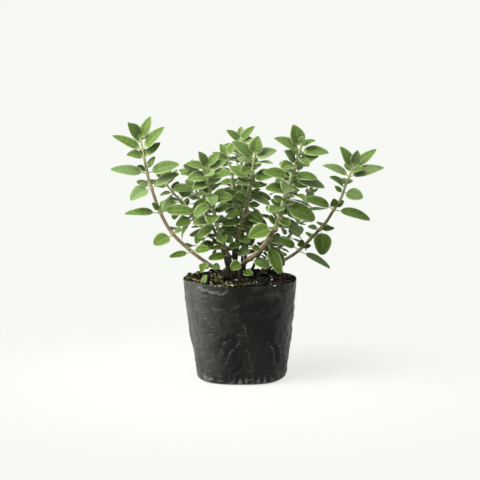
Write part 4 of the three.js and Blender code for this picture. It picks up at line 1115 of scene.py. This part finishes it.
def make_crumbs(materials, feet):
    """Crumbs of compost, bark chips and a few pale grains, half sunk in the surface."""
    build = Build()
    points, faces = lump_form()
    for k in range(CRUMBS):
        angle = 2 * pi * hashed(k, 71)
        share = sqrt(hashed(k, 72)) * OUTMOST_CRUMB
        # more of them lie where they show, round the edge
        if k % 3 == 0:
            share = drawn(RIM_CRUMBS, k, 73)
        edge = float(soil_radius(np.array(angle), SOIL_EDGE))
        reach = edge * share
        kind = hashed(k, 74)
        size = drawn(CRUMB['size'], k, 75, power=2)
        shape = vec((1, drawn(CRUMB['wide'], k, 76), drawn(CRUMB['tall'], k, 77)))
        if kind > BARK_FROM:
            size, shape = drawn(CHIP_SIZE, k, 78), vec(CHIP_SHAPE)
        elif kind < PERLITE_TO:
            size = drawn(PERLITE_SIZE, k, 79)
        x, y = reach * cos(angle), reach * sin(angle)
        if min(hypot(x - foot_x, y - foot_y) for foot_x, foot_y in feet) < STEM_ROOM + size:
            continue
        if reach + size * shape[0] > edge + 0.4:
            reach -= size * shape[0]
        x, y = reach * cos(angle), reach * sin(angle)
        spin = Euler([drawn(span, k, 81 + i) for i, span in enumerate(CRUMB_TILTS)]).to_matrix()
        rough = np.array([noise.noise(Vector(p) * 1.7 + Vector((k, 0, 0))) for p in points])
        body = (points * (1 + 0.55 * rough)[:, None] * shape * size) @ np.array(spin).T
        rise = size * shape[2] * drawn(CRUMB['rise'], k, 84) + 0.6
        body += (x, y, float(soil_height(x, y)) + rise)
        # painted shade: to the right, away from the light, less pale moss and darker bark chips
        dull = 1 / (1 + exp(-(x + 6) / 9))
        build.add(body, (0, 0, 0), (kind, hashed(k, 85) * (1 - 0.55 * dull), dull), faces, 0)
    return build.mesh('soil_crumbs', materials)


# ---------------------------------------------------------------- materials

class Nodes:
    """A material's nodes, joined by short calls."""

    def __init__(self, name):
        self.material = bpy.data.materials.new(name)
        self.material.use_nodes = True
        self.tree = self.material.node_tree
        self.shader = self.tree.nodes['Principled BSDF']
        self.here = self.make('ShaderNodeTexCoord').outputs['Object']

    def make(self, kind, **settings):
        node = self.tree.nodes.new(kind)
        for key, value in settings.items():
            setattr(node, key, value)
        return node

    def put(self, socket, value):
        if isinstance(value, bpy.types.NodeSocket):
            self.tree.links.new(value, socket)
        elif value is not None:
            socket.default_value = value

    def joined(self, kind, *values, **settings):
        """A node whose first sockets take these values."""
        node = self.make(kind, **settings)
        for socket, value in zip(node.inputs, values):
            self.put(socket, value)
        return node.outputs

    def split(self, vector):
        return self.joined('ShaderNodeSeparateXYZ', vector)

    def scaled(self, *scale):
        return self.joined('ShaderNodeVectorMath', self.here, scale, operation='MULTIPLY')[0]

    def attribute(self, name):
        node = self.make('ShaderNodeAttribute', attribute_name=name)
        return self.split(node.outputs['Vector'])

    def math(self, kind, a, b=None, clamp=False):
        return self.joined('ShaderNodeMath', a, b, operation=kind, use_clamp=clamp)[0]

    def plus(self, a, b, clamp=False):
        return self.math('ADD', a, b, clamp)

    def times(self, a, b):
        return self.math('MULTIPLY', a, b)

    def swayed(self, value, noise, amount, clamp=False):
        """A value that a noise moves up and down."""
        return self.plus(value, self.times(self.math('SUBTRACT', noise, 0.5), amount), clamp)

    def step(self, value, low, high, out_low=0.0, out_high=1.0):
        """Smooth step: out_low up to low, out_high from high on."""
        return self.joined('ShaderNodeMapRange', value, low, high, out_low, out_high,
                           interpolation_type='SMOOTHSTEP')[0]

    def noise(self, scale, detail=3.0, rough=0.55, place=None, distortion=0.0):
        node = self.make('ShaderNodeTexNoise')
        self.put(node.inputs['Vector'], self.here if place is None else place)
        for socket, value in (('Scale', scale), ('Detail', detail), ('Roughness', rough),
                              ('Distortion', distortion)):
            self.put(node.inputs[socket], value)
        return node.outputs['Fac']

    def mix(self, share, a, b):
        node = self.make('ShaderNodeMix', data_type='RGBA')
        for socket, value in ((node.inputs[0], share), (node.inputs[6], a), (node.inputs[7], b)):
            self.put(socket, (*value, 1) if isinstance(value, tuple) else value)
        return node.outputs[2]

    def layers(self, colour, *layers):
        """One tint after another over a colour, each by its own share."""
        for share, tint in layers:
            colour = self.mix(share, colour, tint)
        return colour

    def bump(self, height, distance, strength):
        node = self.make('ShaderNodeBump')
        self.put(node.inputs['Height'], height)
        self.put(node.inputs['Distance'], distance)
        self.put(node.inputs['Strength'], strength)
        return node.outputs[0]

    def finish(self, colour, **rest):
        self.put(self.shader.inputs['Base Color'], colour)
        for key, value in rest.items():
            self.put(self.shader.inputs[key.replace('_', ' ')], value)
        return self.material


LEAF_LOOKS = {
    'leaf_top': dict(young=(0.063, 0.108, 0.026), old=(0.0225, 0.0485, 0.0022),
                     pale=(0.26, 0.29, 0.145), dull=(0.165, 0.205, 0.045),
                     rough=(0.54, 0.72), sheen=0.03),
    'leaf_under': dict(young=(0.16, 0.215, 0.09), old=(0.103, 0.155, 0.048),
                       pale=(0.28, 0.335, 0.16), dull=(0.2, 0.26, 0.1),
                       rough=(0.65, 0.85), sheen=0.15),
}
# the second of these is a painted sheen, laid on random leaves as if they caught the light
WARM_LEAF, LEAF_SHEEN_PAINT = (0.07, 0.105, 0.01), (0.118, 0.158, 0.08)
# the first of these is the pale rim of the edge hairs, partly a painted highlight
LEAF_RIM_HAIRS_AND_HIGHLIGHT, LEAF_STALK = (0.27, 0.31, 0.19), (0.23, 0.29, 0.115)


def leaf_material(name):
    look = LEAF_LOOKS[name]
    m = Nodes(name)
    u, v, vein = m.attribute('place')
    # the third tone picks the leaves that get a painted sheen
    age, chance, other = m.attribute('tone')
    away = m.math('ABSOLUTE', v)
    mottle = m.noise(1500, 2.0, 0.6)
    aged = m.swayed(age, m.noise(260, 3.0, 0.6), 0.7, clamp=True)
    pale = m.mix(aged, look['pale'], look['dull'])
    # veins: the middle rib, then the side veins that fade towards the edge
    rib = m.times(m.step(away, 0.03, 0.10, 1.0, 0.0), m.step(u, 0.5, 1.0, 0.8, 0.15))
    side = m.step(m.math('PINGPONG', vein, 0.5), 0.02, 0.11, 1.0, 0.0)
    side = m.times(side, m.step(away, 0.5, 0.95, 0.55, 0.0))
    veins = m.math('MAXIMUM', rib, side)
    ragged = m.swayed(away, mottle, 0.12)
    colour = m.layers(
        m.mix(aged, look['young'], look['old']),
        (m.step(chance, 0.55, 1.0, 0.0, 0.22), WARM_LEAF),
        # painted sheen on a random share of the leaves
        (m.step(other, 0.55, 1.0, 0.0, 0.45), LEAF_SHEEN_PAINT),
        (m.step(mottle, 0.5, 0.75, 0.0, 0.08), pale),
        (m.times(veins, 0.28), pale),
        (m.step(away, 0.5, 1.0, 0.0, 0.18), pale),
        # pale rim of hairs at the edge, partly a painted highlight
        (m.step(ragged, 0.83, 0.95, 0.0, 0.58), LEAF_RIM_HAIRS_AND_HIGHLIGHT),
        (m.times(m.step(u, 0.06, 0.26, 1.0, 0.0), 0.75), LEAF_STALK))
    relief = m.plus(m.times(veins, -0.6), m.times(m.noise(2200, 1.0), 0.15))
    relief = m.plus(relief, m.times(m.noise(600, 2.0), 0.5))
    return m.finish(colour, Roughness=m.step(m.noise(900, 2.0), 0.3, 0.7, *look['rough']),
                    Normal=m.bump(relief, 0.0002, 0.5), Sheen_Weight=look['sheen'],
                    Sheen_Roughness=0.45, Sheen_Tint=(0.75, 0.85, 0.5, 1),
                    Specular_IOR_Level=0.06, Subsurface_Weight=0.1,
                    Subsurface_Radius=(0.5, 1.0, 0.15), Subsurface_Scale=0.0006)


# the two ends of each bark: patches of it mix them
GREEN_BARK = (0.22, 0.245, 0.115), (0.15, 0.182, 0.07)
OLIVE_BARK = (0.045, 0.037, 0.017), (0.115, 0.095, 0.052)
RUSSET_BARK = (0.1, 0.062, 0.037), (0.195, 0.138, 0.088)
# painted shade: near-black bark for the crown, where the stems stand in the leaves' shade
PAINTED_SHADE_BARK = (0.006, 0.0045, 0.0025), (0.02, 0.0145, 0.0075)
BARK_STREAK, BARK_NODE = (0.31, 0.28, 0.185), (0.22, 0.25, 0.1)


def stem_material():
    m = Nodes('stem')
    share, _, node = m.attribute('place')
    brown_to, russet, _ = m.attribute('tone')
    streak = m.noise(1.0, 3.0, 0.6, place=m.scaled(2400, 2400, 240))
    patch = m.noise(120, 3.0)
    climb = m.swayed(m.math('SUBTRACT', share, brown_to), patch, 0.35)
    green, olive, red, painted_shade = (m.mix(patch, *bark) for bark in
                               (GREEN_BARK, OLIVE_BARK, RUSSET_BARK, PAINTED_SHADE_BARK))
    # painted shade: the bark is almost black low among the crowded stems, in the leaves' shade
    x, y, z = m.split(m.here)
    spread = m.math('SQRT', m.plus(m.times(x, x), m.times(y, y)))
    crown = m.plus(z, m.times(spread, 0.6))
    grey = m.times(m.step(streak, 0.45, 0.7, 0.0, 0.26), m.step(crown, 0.12, 0.148, 0.15, 1.0))
    colour = m.layers(
        m.mix(m.step(climb, -0.1, 0.14), m.mix(russet, olive, red), green),
        # painted shade low in the crown
        (m.step(crown, 0.122, 0.15, 0.97, 0.0), painted_shade),
        (grey, BARK_STREAK),
        (m.times(node, m.step(crown, 0.125, 0.15, 0.0, 0.4)), BARK_NODE))
    relief = m.plus(streak, m.times(m.noise(1800, 2.0), 0.6))
    return m.finish(colour, Roughness=0.68, Normal=m.bump(relief, 0.0002, 0.8),
                    Sheen_Weight=0.04, Sheen_Roughness=0.5, Sheen_Tint=(0.9, 0.88, 0.75, 1),
                    Specular_IOR_Level=0.1)


def hair_material():
    m = Nodes('hair')
    colour = m.mix(m.noise(900, 1.0), (0.36, 0.41, 0.26), (0.52, 0.54, 0.41))
    return m.finish(colour, Roughness=0.5, Sheen_Weight=0.2, Sheen_Roughness=0.4)


FILM_BLACKS = (0.0008, 0.0013, 0.0008), (0.0062, 0.0078, 0.0056)
# the grey after the film's blacks below is a painted sheen for the side where the light falls
# the last, near-black tone below is painted shade for the film's dents
FILM_SHEEN_PAINT, FILM_STAIN, FILM_DENT_SHADE = (0.056, 0.06, 0.053), (0.036, 0.037, 0.027), (0.0004,) * 3
# the first of these is white wear, partly a painted highlight
FILM_WEAR_HIGHLIGHT, FILM_SPECK = (0.21, 0.215, 0.2), (0.27, 0.27, 0.245)


def film_material():
    m = Nodes('black_film')
    x, _, z = m.split(m.here)
    cloud = m.noise(28, 4.0, 0.6)
    smear = m.noise(1.0, 4.0, 0.65, place=m.scaled(120, 120, 34))
    fine = m.noise(900, 3.0, 0.6)
    # the place holds the white wear with its painted highlight, then the painted shade of the dents
    wear_and_highlight, dent, _ = m.attribute('place')
    dusty = m.step(m.plus(cloud, m.times(smear, 0.6)), 0.55, 1.15)
    # painted sheen: a grey haze, mottled like dust, lightens the left side, where the light falls
    left_sheen_paint = m.times(m.step(x, -0.07, -0.002, 0.8, 0.0), m.step(smear, 0.3, 0.65, 0.6, 1.0))
    # soil and water stains under the rim
    high = m.step(m.swayed(z, smear, 0.03), 0.082, 0.098)
    stain = m.times(high, m.step(cloud, 0.42, 0.62, 0.0, 0.7))
    speck = m.swayed(m.noise(1150, 1.0, 0.5), smear, 0.16)
    colour = m.layers(
        m.mix(dusty, *FILM_BLACKS),
        # painted sheen on the left side
        (left_sheen_paint, FILM_SHEEN_PAINT),
        (stain, FILM_STAIN),
        # painted shade in the dents
        (m.times(dent, 0.8), FILM_DENT_SHADE),
        # white wear along the raised creases, partly a painted highlight
        (m.times(wear_and_highlight, m.step(fine, 0.35, 0.62, 0.15, 0.75)), FILM_WEAR_HIGHLIGHT),
        (m.step(speck, 0.75, 0.8, 0.0, 0.7), FILM_SPECK))
    rough = m.step(m.plus(m.times(cloud, 0.6), m.times(fine, 0.4)), 0.3, 0.7, 0.3, 0.5)
    scratch = m.noise(1.0, 3.0, 0.7, place=m.scaled(700, 700, 120), distortion=0.6)
    relief = m.plus(m.times(scratch, 0.3), m.times(fine, 0.2))
    relief = m.plus(relief, m.times(m.noise(170, 3.0, 0.55, distortion=1.0), 1.3))
    return m.finish(colour, Roughness=rough, Normal=m.bump(relief, 0.0004, 0.6),
                    Specular_IOR_Level=0.14)


DARK_SOIL, LIGHT_SOIL = (0.0012, 0.001, 0.0008), (0.0095, 0.0078, 0.0048)
MOSSY, SANDY = (0.085, 0.075, 0.024), (0.13, 0.105, 0.055)
BARK_CHIP = (0.1, 0.088, 0.04), (0.25, 0.235, 0.125)
PERLITE = (0.2, 0.185, 0.13), (0.36, 0.34, 0.26)


def soil_material(name, crumbs):
    m = Nodes(name)
    kind, chance, dull = m.attribute('tone')
    coarse = m.noise(620, 4.0, 0.7)
    fine = m.noise(2600, 3.0, 0.7)
    colour = m.mix(m.step(coarse, 0.35, 0.7), DARK_SOIL, LIGHT_SOIL)
    if crumbs:
        # painted shade: the bark chips darken towards the right by the third tone
        chip = m.mix(m.times(dull, 0.75), m.mix(fine, *BARK_CHIP), DARK_SOIL)
        colour = m.layers(
            colour,
            (m.step(chance, 0.35, 1.0, 0.0, 0.8), MOSSY),
            (m.step(kind, BARK_FROM - 0.002, BARK_FROM), chip),
            (m.step(kind, PERLITE_TO - 0.002, PERLITE_TO, 1.0, 0.0), m.mix(fine, *PERLITE)))
    else:
        colour = m.mix(m.step(fine, 0.64, 0.76, 0.0, 0.7), colour, SANDY)
    relief = m.plus(coarse, m.times(fine, 0.5))
    return m.finish(colour, Roughness=0.93, Normal=m.bump(relief, 0.0006, 1.0),
                    Specular_IOR_Level=0.08)


# ---------------------------------------------------------------- the scene, in metres

LENS, SENSOR, CLIP = 112.5, 36, (0.05, 20)
CAMERA_AIM = (0, 0, 0.1385)
CAMERA_ELEVATION = radians(7.55)
CAMERA_DISTANCE = 1.5

# place, aim, size, power and colour
LIGHTS = {
    'key': ((-0.8, -0.7, 1.5), (0, 0, 0.15), 1.2, 76, (1, 0.985, 0.94)),
    'left_band': ((-1.2, -0.35, 0.5), (0, 0, 0.08), 1.3, 36, (1, 1, 0.99)),
    'right_rim': ((1.2, 0.55, 0.4), (0, 0, 0.1), 0.4, 9, (0.98, 0.99, 1)),
}
BACKGROUND = (0.925, 0.945, 0.905, 1)
FLOOR_TONES = (0.37, 0.375, 0.36), (0.39, 0.395, 0.38)
FLOOR_RADIUS = 4
FLOOR_DROP = 0.0002                # keeps the floor clear of the bag's base


def aim(thing, place, way):
    thing.location = place
    thing.rotation_mode = 'QUATERNION'
    thing.rotation_quaternion = way.to_track_quat('-Z', 'Y')
    bpy.context.scene.collection.objects.link(thing)


def make_camera():
    data = bpy.data.cameras.new('camera')
    data.sensor_width, data.lens = SENSOR, LENS
    data.clip_start, data.clip_end = CLIP
    camera = bpy.data.objects.new('camera', data)
    back = Vector((0, -cos(CAMERA_ELEVATION), sin(CAMERA_ELEVATION)))
    aim(camera, Vector(CAMERA_AIM) + back * CAMERA_DISTANCE, -back)
    bpy.context.scene.camera = camera


def floor_material():
    """Pale near the object, and fading into the background's own light further out."""
    m = Nodes('pale_floor')
    away = m.joined('ShaderNodeVectorMath', m.here, operation='LENGTH')['Value']
    m.finish(m.mix(m.noise(6, 2.0), *FLOOR_TONES), Roughness=0.9, Specular_IOR_Level=0.1)
    glow = m.joined('ShaderNodeEmission', BACKGROUND)[0]
    fade = m.step(away, 0.08, 0.34, 0.76, 1.0)
    blend = m.joined('ShaderNodeMixShader', fade, m.shader.outputs[0], glow)[0]
    m.put(m.tree.nodes['Material Output'].inputs['Surface'], blend)
    return m.material


def make_studio():
    scene = bpy.context.scene
    scene.view_settings.view_transform = 'Standard'
    scene.view_settings.look = 'None'
    scene.world = bpy.data.worlds.new('studio')
    scene.world.use_nodes = True
    scene.world.node_tree.nodes['Background'].inputs['Color'].default_value = BACKGROUND
    for name, (place, target, size, power, colour) in LIGHTS.items():
        data = bpy.data.lights.new(name, 'AREA')
        data.shape, data.size, data.energy, data.color = 'DISK', size, power, colour
        aim(bpy.data.objects.new(name, data), place, Vector(target) - Vector(place))
    bm = bmesh.new()
    bmesh.ops.create_circle(bm, cap_ends=True, segments=96, radius=FLOOR_RADIUS)
    mesh = bpy.data.meshes.new('floor')
    bm.to_mesh(mesh)
    bm.free()
    mesh.materials.append(floor_material())
    floor_piece = bpy.data.objects.new('floor', mesh)
    floor_piece.location = (0, 0, -FLOOR_DROP)
    scene.collection.objects.link(floor_piece)


LEAF_AGE = dict(foot=0.95, loss=0.75, spread=(-0.175, 0.175))
STEM_FOOT = 99                     # height at which crumbs keep clear of a stem
SEEDLING_KEY = 90001               # draws its ripples
SEEDLING_TONE = (0.0, 0.3, 0.3)


def settle(piece, node=None):
    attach(piece, 'root')
    if node:
        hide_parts(node)


def make_plant():
    """The sprigs and the seedling; returns where the stems leave the soil."""
    materials = [leaf_material('leaf_top'), leaf_material('leaf_under'),
                 stem_material(), hair_material()]
    paths = [Path(stem['route']) for stem in STEMS]
    for number, (stem, path, leaves) in enumerate(zip(STEMS, paths, grow_leaves(paths)), 1):
        build = Build()
        fine_stem(build, stem, path, [leaf['share'] for leaf in leaves], 100 * number)
        stem_hairs(build, stem, path, 100 * number)
        for key, leaf in enumerate(leaves, 1000 * number):
            age = LEAF_AGE['foot'] - LEAF_AGE['loss'] * leaf['share']
            age += drawn(LEAF_AGE['spread'], key, 8)
            tone = (min(1, max(0, age)), hashed(key, 9), hashed(key, 10))
            edge_hairs(build, leaf, key, fine_leaf(build, leaf, key, tone), tone)
        sprig = build.mesh(stem['name'].replace('stem', 'sprig'), materials)
        settle(sprig, stem['name'])
    make_seedling(materials)
    return [path.at_height(STEM_FOOT)['point'][:2] for path in paths]


def make_seedling(materials):
    """One small pale leaf that stands in the soil in front, on the left."""
    d = unit((0.3, -0.25, 1))
    leaf = dict(root=(-37, -34, 97.5), d=d, n=across((-0.2, -1, 0.3), d), share=0.95, length=12.5,
                width=5.4, bend=0.35, fold=0.25)
    build = Build()
    fine_leaf(build, leaf, SEEDLING_KEY, SEEDLING_TONE)
    settle(build.mesh('seedling_leaf', materials))


def main():
    make_camera()
    make_studio()
    feet = make_plant()
    settle(make_bag([film_material()]), 'grow_bag')
    settle(make_soil([soil_material('soil', False)]), 'potting_soil')
    settle(make_crumbs([soil_material('crumbs', True)], feet))


main()
